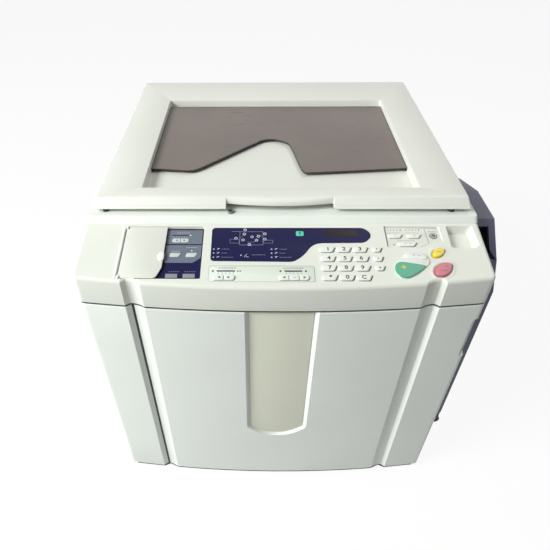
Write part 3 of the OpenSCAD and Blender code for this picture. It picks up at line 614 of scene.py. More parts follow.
# %% The housing as one shell
side_drop = round_off(from_side, SIDE_R)[:, None]
slope = on_panel(np.stack([panel_x, panel_v, -depth - side_drop * math.cos(TILT)], -1))
angle = np.linspace(0, edge_turn, 11)[None, :-1]
edge_z = PANEL_Z + (front - CORNER_Y) * math.tan(TILT)
centre_z = edge_z - EDGE_R * (1 - math.sin(TILT)) / math.cos(TILT)
edge_y = front[:, None] + EDGE_R * (1 - np.cos(angle))
edge_z = centre_z[:, None] + EDGE_R * np.sin(angle) - side_drop * np.sin(angle)
turn = np.linspace(0, np.pi / 2, 4)[None]
foot_y = front[:, None] + SEAM_R * (1 - np.sin(turn))
foot_z = housing_lo[2] + SEAM_R * (1 - np.cos(turn)) + 0 * front[:, None]


def column_points(y, z):
    """Section points (columns, rows, 3) from their y and z, each at its column's x."""
    return np.stack([np.broadcast_to(columns[:, None], y.shape), y, z], -1)


back_low = column_points(np.full((len(columns), 1), housing_hi[1]),
                         np.full((len(columns), 1), housing_lo[2]))
sections = np.concatenate([column_points(foot_y, foot_z), column_points(edge_y, edge_z), slope,
                           back_low], 1)
ears = [slab(panel_box(-246.1, -242.1, v, v + 5, 1), -5 * MM, 1.6 * MM, 0.8 * MM, place=on_panel)
        for v in (-3.6, 96.4)]
base = slab(key_base, -1 * MM, 1.6 * MM, 1.2 * MM, place=on_panel)
# The housing's finish is a darker copy of the white moulding: painted shade from the lid and scanner above.
piece("control_housing_shell", "panel_white_painted_shade", [shell(sections), base] + ears,
      "control_housing", crease=38)


# %% [markdown]
# ## Front door and left front cover
#
# Both are thick moulded shells that share one bowed front. A front is drawn here as rows and columns
# over the bow: the columns crowd together where a groove or a rim turns, and the rows where the plate's
# round lower end lies. The recess for the plate and the finger pull are carved as on the key panel.

# %% A bowed front panel
FRONT_EDGE = 1.2 * MM


def front_panel(x, z, back, ends, recesses=()):
    """Closed shell of a bowed cover: y = bow + groove + the fall-back at each edge + its recesses,
    closed behind at y = back. ends gives the radius of its left and right upright edges."""
    grid_x, grid_z = (g.copy() for g in np.meshgrid(x, z, indexing="ij"))
    share = np.zeros_like(grid_x)
    goal = np.zeros_like(grid_x)
    for rim, floor, level in recesses:
        part = np.zeros_like(grid_x)
        carve(grid_x, grid_z, part, rim, floor, 1.0, 1.1 * MM)
        share, goal = np.where(part > 0, part, share), np.where(part > 0, level, goal)
    y = bow_y(grid_x) + groove(grid_x)
    y += round_off(grid_x - x[0], ends[0]) + round_off(x[-1] - grid_x, ends[1])
    y += round_off(grid_z - z[0], FRONT_EDGE) + round_off(z[-1] - grid_z, FRONT_EDGE)
    y += (np.maximum(goal, y) - y) * share
    face = np.stack([grid_x, y, grid_z], -1)
    behind = np.broadcast_to(back, x.shape)
    closing = [np.stack([x, behind, np.full_like(x, level)], -1)[:, None] for level in (z[-1], z[0])]
    return shell(np.concatenate([face] + closing, 1))


def rounded_steps(lo, hi, r):
    """Values that follow a quarter circle at both ends of a stretch, in millimetres."""
    bend = r * (1 - np.cos(np.linspace(0, np.pi / 2, 4)))
    return [lo + b for b in bend] + [hi - b for b in bend]


# %% Door
PLATE_W, PLATE_LOW, PLATE_ROUND, PLATE_BED = 104 * MM, 155 * MM, 64 * MM, -318.5 * MM
EASE_ANGLE, EASE_UP, EASE_TILT = 0.16, 9 * MM, 2 * MM


def plate_outline(grow, top, lift=0.0):
    """A tall plate with a shallow round lower end, widened by grow and lifted at its lower end."""
    half, r = PLATE_W / 2 + grow, PLATE_ROUND + grow
    reach = math.asin(half / r) - EASE_ANGLE
    a = np.linspace(-reach, reach, 41)
    x = r * np.sin(a)
    low = PLATE_LOW + lift + PLATE_ROUND - r * np.cos(a)
    side = np.linspace(0, 1, 7)[1:]
    ease_x = x[-1] + (half - x[-1]) * np.sin(side * np.pi / 2)
    ease_z = low[-1] + EASE_UP * (1 - np.cos(side * np.pi / 2)) + EASE_TILT * side
    right = np.stack([ease_x, ease_z], -1)
    left = right[::-1] * [-1, 1]
    return np.concatenate([left, np.stack([x, low], -1), right, [[half, top], [-half, top]]])


door_top = door_hi[2] + 4 * MM
PULL_LOW, PULL_HIGH, PULL_BED = DOOR_TOP - 119, DOOR_TOP - 32, -293.5 * MM
pull = box_outline(299 * MM, 330 * MM, PULL_LOW * MM, PULL_HIGH * MM, 5 * MM)
door_left = door_lo[0] / MM + 0.5
door_x = stations(
    spaced((door_left, door_left + 21, 1), (door_left + 21, -60, 8), (-60, 60, 1), (60, 204, 8),
           (204, 240, 1), (240, 296, 7), (296, 304, 1)), BREAKS, -BREAKS[:1],
    corner_columns, rounded_steps(door_left, HALF_W / MM, 0.8)[:4])
door_z = stations(
    spaced((FOOT + 2, 144, 13), (144, 196, 1), (196, PULL_LOW - 4, 9), (PULL_LOW - 4, PULL_LOW + 8, 1),
           (PULL_LOW + 8, PULL_HIGH - 8, 8), (PULL_HIGH - 8, PULL_HIGH + 4, 1),
           (PULL_HIGH + 4, RIM - 2, 9)), rounded_steps(FOOT, RIM, 1.2))
recesses = [(plate_outline(4.5 * MM, door_top, 2.3 * MM), plate_outline(-2.5 * MM, door_top, -1.7 * MM),
             PLATE_BED), (pull, inset(pull, WALL), PULL_BED)]
piece("front_door_shell", "housing_white",
      [front_panel(door_x, door_z, bow_y(door_x) + 25 * MM, (0.8 * MM, CORNER_R), recesses)],
      "front_door", "door")

# %% Left front cover
cover_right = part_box("left_front_cover")[1][0] / MM - 0.5
cover_x = stations(-corner_columns, spaced((-303.9, -243, 7), (-243, cover_right, 1)), -BREAKS[1:],
                   rounded_steps(-HALF_W / MM, cover_right, 0.8)[4:])
cover_z = np.sort(rounded_steps(FOOT, RIM, 1.2) + [100, 200, 300, 400]) * MM
SIDE_BACK, COVER_BACK = -280 * MM, -268 * MM
cover_back = np.where(cover_x < -303.95 * MM, SIDE_BACK, COVER_BACK)
piece("left_cover_shell", "housing_white",
      [front_panel(cover_x, cover_z, cover_back, (CORNER_R, 0.8 * MM))], "left_front_cover")

# %% Dark strips of painted shade in the seam over the door and in the gap beside it
def front_band(x, near_in, far_in, low, high):
    """A closed strip along the front line, from near_in to far_in behind it, from low to high."""
    front_at = bow_y(x) + groove(x) + round_off(HALF_W - np.abs(x), CORNER_R)
    ring = np.concatenate([np.stack([x, front_at + near_in], -1),
                           np.stack([x, front_at + far_in], -1)[::-1]])
    return slab(ring, low, high)


seal_x = np.linspace(-306, 306, 205) * MM
beside = np.linspace(cover_right - 0.8, cover_right + 3.2, 3) * MM
# Black strips just behind the seams: painted shade, which darkens the gaps over and beside the door.
piece("seam_shade_strips", "black",
      [front_band(seal_x, 0.8 * MM, 9 * MM, door_hi[2] + 0.4 * MM, housing_lo[2] + 0.5 * MM),
       front_band(beside, 0.7 * MM, 12 * MM, door_lo[2] + 1 * MM, door_hi[2] - 1 * MM)])

# %% Plate in the door
def on_front(points):
    """Turns (x, z, out) into the machine's frame, with out measured towards the front."""
    return np.stack([points[..., 0], PLATE_BED - points[..., 2], points[..., 1]], -1)


plate_rim = plate_outline(-2.7 * MM, RIM * MM - 0.3 * MM, -1.5 * MM)
piece("door_plate", "plate_beige",
      [slab(plate_rim, 0, 1.5 * MM, 0.6 * MM, place=on_front)], "name_plate", "door")


# %% [markdown]
# ## Scanner housing and lid
#
# The scanner is a shallow box whose top holds the glass, and the lid above it is a frame with a sunken
# tub. Both are stacks of rings. A ring starts as a rounded rectangle with extra points along its front
# side, and it is carried up the outside, over the rim and down inside. At the finger grip the rings
# follow an arc that is set back, and the lower ones step further back into a hollow.

# %% Rings with a finely divided front side
CORNER_STEPS = 9
QUARTER = np.radians([0, 30, 60, 90])


def frame_ring(x0, x1, y0, y1, r, front_x):
    """A rounded rectangle, from its front left corner, with extra points along its front side."""
    corners = box_outline(x0, x1, y0, y1, r, CORNER_STEPS)
    straight = np.stack([front_x, np.full_like(front_x, y0)], -1)
    return np.concatenate([corners[:CORNER_STEPS], straight, corners[CORNER_STEPS:]])


print("angles round a rim:", len(QUARTER))

# %% Scanner housing
NO_GRIP = np.linspace(-0.1, 0.1, 5)
SCAN_SLOPE, SCAN_RIM = 8.7 * MM, 1.4 * MM
glass_lo, glass_hi = np.array(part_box("platen_glass"))


def scanner_ring(z, d, lean=0.0):
    """The housing's outline moved in by d, its front side set back by lean, and its height."""
    ring = frame_ring(-HALF_W + d, HALF_W - d, scan_lo[1] + d, scan_hi[1] - d, 6 * MM, NO_GRIP)
    ring[:, 1] += np.where(ring[:, 1] < 0, lean, 0)
    return ring, z


def glass_ring(z, d):
    """The outline of the glass, moved out by d, and its height."""
    (x0, y0, _), (x1, y1, _) = glass_lo - d, glass_hi + d
    return frame_ring(x0, x1, y0, y1, 2 * MM, NO_GRIP), z


slope_foot = scan_hi[2] - SCAN_SLOPE
scan_rings = [scanner_ring(scan_lo[2], 1 * MM), scanner_ring(scan_lo[2] + 1 * MM, 0),
              scanner_ring(slope_foot, 0), scanner_ring(slope_foot + 0.9 * MM, 0.1 * MM, 0.4 * MM)]
scan_rings += [scanner_ring(scan_hi[2] - 1.0 * MM * (1 - math.sin(a)), SCAN_RIM * (1 - math.cos(a)),
                            SCAN_SLOPE * (0.93 + 0.07 * a / 1.57)) for a in QUARTER]
scan_rings += [glass_ring(scan_hi[2], 1.2 * MM), glass_ring(scan_hi[2] - 0.6 * MM, 0.4 * MM),
               glass_ring(glass_lo[2] - 0.4 * MM, 0.3 * MM)]
piece("scanner_shell", "housing_white", [stack(scan_rings)], "scanner_housing")

# %% Lid
TUB = mm([-225, 225, -141, 219])
lid_z, lid_top = 576 * MM, 592 * MM
LEAN, LID_R, LID_SLOPE, LID_LIP = 6 * MM, 3 * MM, 12 * MM, 1.5 * MM
GRIP = (-87 * MM, 84 * MM)
lid_front, lid_back = lid_lo[1], 323 * MM
lip_z = lid_z + 4.8 * MM
LIP_BACK, LIP_SAG, ROLL_BACK, HOLLOW_BACK = 1.5, 8, 12.4, 20 * MM
grip_x = np.concatenate([np.linspace(-130, -90, 4), [-87.5, -86.7], np.linspace(-84, 81, 56),
                         [83.7, 84.5], np.linspace(87, 130, 4)]) * MM


def lid_ring(z, d, hollow=False):
    """The lid's outline at a height, and that height. It leans in at the sides and slopes back at the
    front. In the grip the front follows an arc that rolls back in a quarter ellipse from the lip to
    the top, and it is drawn far back for the hollow under the lip."""
    up = (z - lid_z) / (lid_top - lid_z)
    slope = LID_SLOPE * max(0.0, (z - lid_z - LID_LIP) / (lid_top - lid_z - LID_LIP))
    y0 = lid_front + slope + d
    ring = frame_ring(lid_lo[0] + LEAN * up + d, lid_hi[0] - LEAN * up - d, y0, lid_back - d,
                      LID_R, grip_x)
    x = ring[:, 0]
    within = (ring[:, 1] < y0 + 1e-6) & (x > GRIP[0]) & (x < GRIP[1])
    along = (2 * x - GRIP[0] - GRIP[1]) / (GRIP[1] - GRIP[0])
    roll = 1 - math.sqrt(1 - min(1.0, max(0.0, (z - lip_z) / (lid_top - lip_z))) ** 2)
    lip = LIP_BACK + LIP_SAG * along**2
    arc = lid_front + (lip + (ROLL_BACK - lip) * roll) * MM + d
    ring[:, 1] = np.where(within, lid_front + HOLLOW_BACK if hollow else arc, ring[:, 1])
    return ring, z


def tub_ring(z, grow):
    """The outline of the tub, grown, and its height."""
    x0, x1, y0, y1 = TUB + grow * np.array([-1, 1, -1, 1])
    return frame_ring(x0, x1, y0, y1, 2.5 * MM, grip_x), z


tub_floor, under = 575 * MM, 572.5 * MM
lid_rings = [tub_ring(under, 3 * MM), tub_ring(lid_z + 0.1 * MM, 3 * MM),
             lid_ring(lid_z, 0.8 * MM, True), (lid_ring(lid_z, 0, True)[0], lid_z + 0.8 * MM),
             lid_ring(lid_z + LID_LIP, 0, True), lid_ring(lip_z - 0.2 * MM, 0, True),
             lid_ring(lip_z, 0.7 * MM), lid_ring(lip_z + 0.3 * MM, 0.2 * MM)]
lid_rings += [lid_ring(h, 0) for h in np.linspace(lip_z + 0.9 * MM, lid_top - 2 * MM, 7)]
lid_rings += [lid_ring(lid_top - 1.2 * MM * (1 - math.sin(a)), 1.6 * MM * (1 - math.cos(a)))
              for a in QUARTER]
lid_rings += [tub_ring(lid_top - 0.9 * MM * (1 - math.cos(a)), 0.9 * MM * (1 - math.sin(a)))
              for a in QUARTER]
lid_rings += [tub_ring(tub_floor + 1 * MM, -0.6 * MM), tub_ring(tub_floor, -1.6 * MM)]
print("lid rings:", len(lid_rings))

# %% The lid as one piece, with its hinge barrels
AXIS_Y, AXIS_Z, BARREL_R, BARREL_L = 320 * MM, 572.5 * MM, 3.1 * MM, 12 * MM
barrel = [(0.8 * BARREL_R, 0), (BARREL_R, 0.12 * BARREL_R), (BARREL_R, BARREL_L - 0.12 * BARREL_R),
          (0.8 * BARREL_R, BARREL_L)]
lid_shells = [stack(lid_rings)]
for x0 in mm([-187.5, -224.5, 212.5, 175.5]):
    lid_shells.append(turned(barrel, lambda p: np.stack(
        [x0 + p[..., 2], AXIS_Y + p[..., 0], AXIS_Z + p[..., 1]], -1), 32))
    block = box_outline(x0, x0 + BARREL_L, AXIS_Y - BARREL_R, AXIS_Y + BARREL_R, 0.6 * MM, 3)
    lid_shells.append(slab(block, AXIS_Z, lid_z + 0.5 * MM))
piece("lid_shell", "lid_white", lid_shells, "lid_cover", "lid", crease=28)


# %% [markdown]
# ## Smoked sheet
#
# A sheet of smoked acrylic lies in the tub over stored papers. Its front edge is cut in a long slope, a
# round hump and a steep fall, to leave a window for the hand. The cut edges of such a sheet look almost
# black, because the light inside it ends there. The edge is its own dark band, carried along the outline.

# %% Sheet with its dark edge
SLOPE_AT, HUMP_AT, FALL_AT, LAST_AT, HUMP_MID = 0.17, 0.418, 0.539, 0.6, 0.472


def sheet_line(t):
    """Front edge of the sheet, as a height over the share t of its width: a level, a slope, a parabola
    and a cosine fall, joined end to end."""
    level = 81 - 9 * t / SLOPE_AT
    rise = 72 + 112 * (t - SLOPE_AT) / (HUMP_AT - SLOPE_AT)
    hump = 195 - 3400 * (t - HUMP_MID) ** 2
    fall = 180 - 115 * (1 - np.cos(np.pi * (t - FALL_AT) / (LAST_AT - FALL_AT))) / 2
    last = 65 + 17 * (t - LAST_AT) / (1 - LAST_AT)
    return np.select([t < SLOPE_AT, t < HUMP_AT, t < FALL_AT, t < LAST_AT],
                     [level, rise, hump, fall], last) * MM


def band(outline, width, low, high, place=None):
    """A closed strip of even width inside an outline, from low to high."""
    inner = inset(outline, width)
    rows = [(outline, low), (outline, high), (inner, high), (inner, low)]
    points = np.concatenate([lifted(*row) for row in rows])
    points = place(points) if place else points
    faces = quads(4, len(outline), rows_closed=True)
    return points, [faces if volume(points, [faces]) > 0 else faces[:, ::-1]]


sheet_lo, sheet_hi = np.array(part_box("lid_sheet"))
t = np.concatenate([np.linspace(0, 0.41, 18), np.linspace(0.418, 0.62, 40), np.linspace(0.66, 1, 9)])
line = sheet_line(t)
line[1:-1] = (line[:-2] + 2 * line[1:-1] + line[2:]) / 4
front_edge = np.stack([sheet_lo[0] + (sheet_hi[0] - sheet_lo[0]) * t, TUB[2] + line], -1)
sheet_outline = np.concatenate([front_edge, [[sheet_hi[0], sheet_hi[1]], [sheet_lo[0], sheet_hi[1]]]])
piece("smoked_sheet", "smoked",
      [slab(inset(sheet_outline, 0.9 * MM), sheet_lo[2] + 0.1 * MM, sheet_hi[2] - 0.05 * MM)],
      "lid_sheet", "lid")
tabs = [slab(box_outline(x, x + 2 * MM, y - 0.2 * MM, y + 9 * MM, 0.5 * MM, 3),
             sheet_lo[2] - 3.5 * MM, sheet_lo[2] + 0.4 * MM)
        for x, y in (front_edge[0] + [0.2 * MM, 0], front_edge[-1] - [2.2 * MM, 0])]
piece("smoked_sheet_edge", "smoked_edge",
      [band(sheet_outline, 1.3 * MM, sheet_lo[2], sheet_hi[2])] + tabs, body="lid")


# %% [markdown]
# ## Overlays and keys
#
# The printed foils of the panel are thin plates with a fine bevel. The keys are domed caps in tight
# openings: each one is an outline carried up, rolled over at the rim and closed with a shallow crown.
# One function makes them all, and a thin dark plate under each cap draws the gap that surrounds it, set
# over to the lower right as a painted shadow.

# %% Display foil, adjusting foil and mode foil
def panel_slabs(outlines, low, high, top_r=0.0, crown=0.0, steps=4):
    """Slabs on the slope, low to high in millimetres, from outlines in metres."""
    return [slab(o, low * MM, high * MM, top_r * MM, on_panel, steps, crown * MM) for o in outlines]


def panel_piece(name, finish, outlines, heights, replaces=None, body="machine"):
    """One piece of the key panel. heights are low and high, and the top's radius, crown and steps."""
    return piece(name, finish, panel_slabs(outlines, *heights), replaces, body)


display_outline = panel_shape([(-110, 98.6), (-109.4, 30), (14, 28.6), (30, 38), (47, 66.2), (127, 67.2),
    (141.4, 84), (128, 98.8)], [6, 6, 18, 60, 26, 14, 12, 14], 10)
panel_piece("display_foil", "navy", [display_outline], (-0.2, 0.6, 0.4), "display_panel")
adjust_outline = panel_box(-111, 46, -10, 21, 4)
panel_piece("adjust_foil", "pale_plate", [adjust_outline], (-0.2, 0.35, 0.2), "adjust_plate")
piece("adjust_foil_line", "grey_line",
      [band(inset(adjust_outline, 0.2 * MM), 0.5 * MM, 0.3 * MM, 0.42 * MM, on_panel)])
panel_piece("mode_foil", "mode_grey", [inset(mode_rim, 2 * MM)], (-2.7, -2.1, 0.2),
            "mode_plate")

# %% Window and lamp in the display foil
panel_piece("readout_window", "window", [panel_box(66, 116, 79.5, 94, 1)],
            (0, 0.75, 0.15), "display_window")
panel_piece("ready_lamp", "lamp", [panel_box(21.5, 33.5, 81, 91, 2)], (0, 1.1, 0.4),
            "mode_lamp")


# %% Number keys
def pad_key(x, v, wide, deep, slant=4.0, bulge=4.6):
    """Outline of a key that is round at its left end and cut slanting at its right end."""
    left, right, low, high = x - wide / 2, x + wide / 2, v - deep / 2, v + deep / 2
    corners = [(left, low), (right - slant, low), (right, high - 1), (right - 1.2, high), (left, high)]
    return panel_shape(corners, [bulge, min(3, slant), 0.6, 0.6, bulge], 6)


def gap_shadow_line(outline, grow, shift):
    """The dark gap round a key and its painted shadow: its outline grown, and set over to the right and
    down, where the shadow falls.
    """
    return inset(outline, -grow * MM) + mm(shift)


PITCH_X, PITCH_V, PAD_X, PAD_V = 25, 18.2, 67.4, -2
CAP = (-0.4, 2.0, 0.9, 0.35)
pads = [pad_key(PAD_X + PITCH_X * i, PAD_V + PITCH_V * j, 23.4, 10) for j in range(4) for i in range(3)]
sides = [pad_key(143, PAD_V + PITCH_V * j, 14.8, 8.8, 3.4, 4) for j in (1, 2, 3)]
panel_piece("number_key_caps", "key_white", pads, CAP, "number_keys")
panel_piece("side_key_caps", "key_white", sides, CAP, "side_keys")
# Dark plates round the keys, set over to the lower right: the gaps and a painted shadow.
gap_shadows = [gap_shadow_line(o, 0.6, (1.2, -0.5)) for o in pads + sides]
panel_piece("key_gap_shadows", "gap_shadow_grey", gap_shadows, (-0.3, 0.12))

# %% Segment keys of the adjusting foil and keys of the mode foil
def segments(x, v, pitch, count, deep):
    """A row of touching key segments, round at both outer ends."""
    out = []
    for k in range(count):
        left, right = 3.6 if k == 0 else 0.5, 3.6 if k == count - 1 else 0.5
        x0, x1 = x + pitch * k, x + pitch * (k + 1) - 0.8
        out.append(panel_box(x0, x1, v, v + deep, [left, right, right, left], 6))
    return out


rockers = segments(-104, -7, 16.5, 2, 9) + segments(-7, -7, 15, 3, 9)
panel_piece("adjust_key_caps", "key_white", rockers, (0.2, 2.2, 0.8, 0.2), "adjust_keys")
modes = [pad_key(x + w / 2, v + 4.2, w, 8.3, 4.5, 4)
         for x, v, w in ((164.7, 78.4, 22.5), (193.6, 78.4, 22.5), (177.6, 61.4, 29))]
panel_piece("mode_key_caps", "key_white", modes, (-2.3, -0.2, 0.8, 0.3), "mode_keys")
# Dark plates round the foil keys, set over to the lower right: the gaps and a painted shadow.
mode_gap_shadows = [gap_shadow_line(o, 0.5, (0.8, -0.4)) for o in modes]
rocker_gap_shadows = [gap_shadow_line(o, 0.4, (0.5, -0.4)) for o in rockers]
piece("foil_key_gap_shadows", "gap_shadow_grey",
      panel_slabs(mode_gap_shadows, -2.3, -2.0) + panel_slabs(rocker_gap_shadows, 0.2, 0.45))
ring_out, ring_mid, ring_in = (circle_outline(*drawn((235.2, 83.6)), r * MM) for r in (6, 4.6, 2.9))
piece("mode_button", "button",
      panel_slabs([ring_out], -2.3, -1.2, 0.5) + panel_slabs([ring_in], -1.4, -0.5, 0.5, 0.2),
      "round_button")
piece("mode_button_ring", "key_grey",
      [band(ring_mid, 1.2 * MM, -1.5 * MM, -0.9 * MM, on_panel)])


# %% [markdown]
# ## Start, stop, reset and proof keys
#
# These four really move, so each rides on a body of its own and sinks 1.5 mm. Their caps are free
# curves through a few points. They stand higher than the others and have a broad soft rim.

# %% Large keys
for key, slot, finish, outline, rim in (("start", "key_green", "teal", start_key_outline, 1.5),
                                        ("proof", "key_white", "key_white", proof_key_outline, 1.4),
                                        ("reset", "key_yellow", "yellow", reset_key_outline, 1.3),
                                        ("stop", "key_pink", "pink", stop_key_outline, 1.4)):
    panel_piece(key + "_cap", finish, [outline], (-2.6, 3.2, rim, 0.6, 6), key + "_key", key + "_key")


# %% [markdown]
# ## Left keys under their flap
#
# Seldom used keys lie in a shallow bay that a flap half covers. The bay has a dark foil with two slate
# fields. The flap is a thin plate whose lower corner is cut in a curve, with a half-round tab at its
# free edge for a fingertip.

# %% Bay foil with its two fields
bay = panel_box(-241, -123.6, -3, 100.4, 1.5)
panel_piece("bay_foil", "navy", [bay], (-5.0, -4.0, 0.2), "sub_panel")
fields = [panel_box(-180, -125, 68, 97.8, 1),
          panel_shape([(-180, 29.8), (-136, 29.8), (-124.8, 40), (-124.8, 65.8), (-180, 65.8)],
                      [1, 9, 9, 1, 1])]
panel_piece("bay_fields", "slate", fields, (-4.2, -3.85, 0.1))
bay_keys = [panel_box(-171.6, -159, 71, 79, [3.6, 0.6, 0.6, 3.6]),
            panel_box(-158, -145.6, 71, 79, [0.6, 3.6, 3.6, 0.6])]
bay_keys += [panel_shape([(x, 41), (x + 14, 41), (x + 18, 49), (x + 1, 49)], [1.5, 3, 1.5, 3])
             for x in (-173, -148)]
panel_piece("bay_keys", "key_grey", bay_keys, (-4.0, -2.9, 0.3), "sub_panel_keys")
lower = [panel_box(x, x + 18, 0.6, 8.2, 1) for x in (-175, -149)]
panel_piece("bay_lower_keys", "dim_key", lower, (-4.0, -3.2, 0.3))

# %% Flap
flap_outline = panel_shape([(-244.2, 95.9), (-244.2, 1.9), (-240.7, 1.9), (-240.7, -2.8), (-188.6, -2.8),
    (-181.2, 17), (-180.5, 100), (-240.7, 100), (-240.7, 95.9)], [0.6, 0.6, 0.4, 1, 7, 16, 1, 1, 0.4])
tab = panel_curve((-189.4, 38.5), (-187.4, 45), (-183.6, 47.9), (-180.9, 46.5), (-179.7, 42),
    (-179.7, 35), (-180.9, 30.6), (-183.6, 29.1), (-187.4, 32))
PIN_X, PIN_R, PIN_L = -241.5 * MM, 1 * MM, 7.3 * MM
flap_pins = [turned([(PIN_R, v), (PIN_R, v + PIN_L)], lambda p: on_panel(
    np.stack([PIN_X + p[..., 0], p[..., 2], p[..., 1]], -1)), 24) for v in mm([-2.3, 94.6])]
piece("flap_plate", "flap_white", panel_slabs([flap_outline], -0.9, 0.6, 0.5) + flap_pins,
      "panel_flap", "flap")
rib = panel_box(-250.4, -247, -3, 101, 1.5, 5)
panel_piece("flap_rib", "key_white", [rib], (-0.5, 0.75, 0.7))
panel_piece("flap_tab", "key_white", [tab], (0.3, 1.9, 0.7, 0.2), None, "flap")


# %% [markdown]
# ## Printed marks
#
# Legends and symbols are ink on the foils and keys. Digits come from the built-in letter shapes: the
# text is made a mesh with a little depth, and its points are then placed on the slope. Lines, bars and
# dots are thin plates. All the symbols here are general ones: arrows, dots, bars and a plain diagram.

# %% Ink
def strip(x0, v0, x1, v1, w):
    """A straight line from one point to another, w wide, as a four-cornered outline."""
    a, b = np.array([x0, v0], float), np.array([x1, v1], float)
    along = (b - a) / np.hypot(*(b - a))
    side = np.array([-along[1], along[0]]) * w / 2
    return drawn([a - side, b - side, b + side, a + side])


def lines(w, *ends):
    """Strips of one width, each from (x0, v0) to (x1, v1)."""
    return [strip(*line_ends, w) for line_ends in ends]


def dashes(*rows):
    """Rows of level dashes: (first x, v, length of a dash, its width, step, count)."""
    return [strip(x + step * k, v, x + step * k + length, v, w)
            for x, v, length, w, step, count in rows for k in range(count)]


def dots(r, *middles):
    """Discs of one radius."""
    return [circle_outline(*drawn(middle), r * MM, 14) for middle in middles]


def arrow(x, v, size, way):
    """A filled triangle that points along way, in degrees from the right."""
    a = np.radians(way + np.array([0, 130, 230]))
    return drawn(np.stack([x + size * np.cos(a), v + size * np.sin(a)], -1))


def frame_lines(x0, x1, v0, v1, w):
    """Four strips round a rectangle."""
    return lines(w, (x0, v0, x1, v0), (x0, v1, x1, v1), (x0, v0, x0, v1), (x1, v0, x1, v1))


def ink(name, outlines, lift, finish="ink", thick=0.07, body="machine"):
    """Marks that lie lift above the slope, as one piece."""
    return panel_piece(name, finish, outlines, (lift, lift + thick), None, body)


def digit(text, x, v, size, lift):
    """A character centred on (x, v) as points and triangles on the slope."""
    curve = bpy.data.curves.new("digit", "FONT")
    curve.body, curve.size, curve.extrude, curve.offset = text, size * MM, 0.03 * MM, 0.22 * MM
    curve.align_x, curve.align_y, curve.resolution_u = "CENTER", "CENTER", 4
    holder = bpy.data.objects.new("digit", curve)
    mesh = bpy.data.meshes.new_from_object(holder)
    mesh.calc_loop_triangles()
    points = np.empty(len(mesh.vertices) * 3)
    mesh.vertices.foreach_get("co", points)
    corners = np.empty(len(mesh.loop_triangles) * 3, np.int32)
    mesh.loop_triangles.foreach_get("vertices", corners)
    points = points.reshape(-1, 3) * [1.12, 1, 1] + [*drawn((x, v)), lift * MM]
    bpy.data.objects.remove(holder)
    bpy.data.curves.remove(curve)
    bpy.data.meshes.remove(mesh)
    return on_panel(points), [corners.reshape(-1, 3)]


# %% Digits and key symbols
LEGENDS = "*0C789456123"
digits = [digit(text, PAD_X + 1.2 + (PITCH_X - 0.8) * (k % 3), PAD_V + 0.2 + PITCH_V * (k // 3), 9.3, 2.33)
          for k, text in enumerate(LEGENDS)]
piece("key_digits", "ink", digits)
SIGN_X, SIGN_V = 142.4, -2.6
symbols = [arrow(SIGN_X, PAD_V + 3 * PITCH_V, 1.7, 270), arrow(SIGN_X, PAD_V + 2 * PITCH_V, 1.7, 90)]
ink("side_key_symbols", symbols + dots(1.3, (SIGN_X, PAD_V + PITCH_V)), 2.33)
rocker_symbols = [arrow(x, SIGN_V, 2.6, way)
                  for x, way in ((-94.2, 180), (-80.5, 0), (0.6, 180), (30.4, 0))]
rocker_symbols[3:3] = lines(0.7, (13.6, SIGN_V, 18, SIGN_V))
ink("rocker_symbols", rocker_symbols, 2.37)

# %% Scales above the segment keys
SCALE_V = 10.6
scales = lines(2.6, (-98.5, SCALE_V, -71.5, SCALE_V), (1.5, SCALE_V, 27.5, SCALE_V))
scales += dots(1.6, *((x, SCALE_V) for x in (-104.3, -4.5, 33)))
scales += dots(1.2, *((x, SCALE_V) for x in (-67.4, -63.8)))
ink("adjust_scales", scales, 0.34)
ticks = [strip(x, 5.6, x, 7.8, 1.0) for left in (-96, 4) for x in np.linspace(left, left + 22, 5)]
ticks += dashes((-96, 16.3, 3, 1.3, 3.8, 7), (0, 16.3, 3, 1.3, 3.8, 8))
ink("adjust_ticks", ticks, 0.34, "grey_line")

# %% Marks of the mode foil
mode_marks = dots(0.75, *((x, 96.4) for x in (166, 171, 176, 181, 195, 200, 205, 210)))
mode_marks += lines(1.1, (186, 94.6, 186, 98.2), (215, 94.6, 215, 98.2))
mode_marks += lines(0.55, (223.8, 99.4, 225.4, 68.4))
mode_marks += dashes((165, 90, 2.4, 0.6, 3.4, 6), (194, 90, 2.4, 0.6, 3.4, 6),
                     (178, 73.6, 2.4, 0.6, 3.4, 8), (229, 93, 2.2, 0.6, 3.2, 4)) + dots(1.2, (171.7, 65.2))
ink("mode_marks", mode_marks, -2.11)
key_marks = [strip(x, v, x + 5, v, 0.5) for x in (174, 203) for v in (81.4, 84)]
key_marks += [strip(x, 65.4, x + 5, 65.4, 0.6) for x in (186, 194)]
ink("mode_key_marks", key_marks, 0.08, "grey_line")

# %% Diagram and symbols of the display foil
diagram = frame_lines(-66, -30, 62, 90, 0.5) + frame_lines(-81, -67, 66, 74, 0.45)
diagram += frame_lines(-29, -15, 66, 72, 0.45)
diagram += lines(0.45, (-79, 90.5, -66, 90.5), (-58, 90, -58, 93.5), (-48, 62, -48, 59), (-66, 76, -58, 84),
                 (-40, 84, -30, 80), (-54, 68, -44, 68), (-44, 68, -38, 74))
ink("diagram_lines", diagram, 0.6, "grey_ink")
knots = [(-58, 94.3), (-59, 85), (-47, 79), (-37, 80), (-27, 85.5), (-72, 76), (-61, 72.5), (-40, 72),
         (-27, 74.5), (-51, 63)]
piece("diagram_rings", "white_ink",
      [band(circle_outline(*drawn(knot), 2.5 * MM, 20), 0.8 * MM, 0.6 * MM, 0.7 * MM, on_panel)
       for knot in knots])
ink("diagram_dots", dots(0.7, *knots), 0.62, "grey_ink")
lamp_bar = lines(1.6, (27.5, 83.4, 27.5, 88.6)) + lines(0.9, (25.8, 88.2, 29.2, 88.2))
ink("lamp_bar", lamp_bar, 1.12)
ICON_ROWS = (53.5, 45.5, 37.2)
icons = []
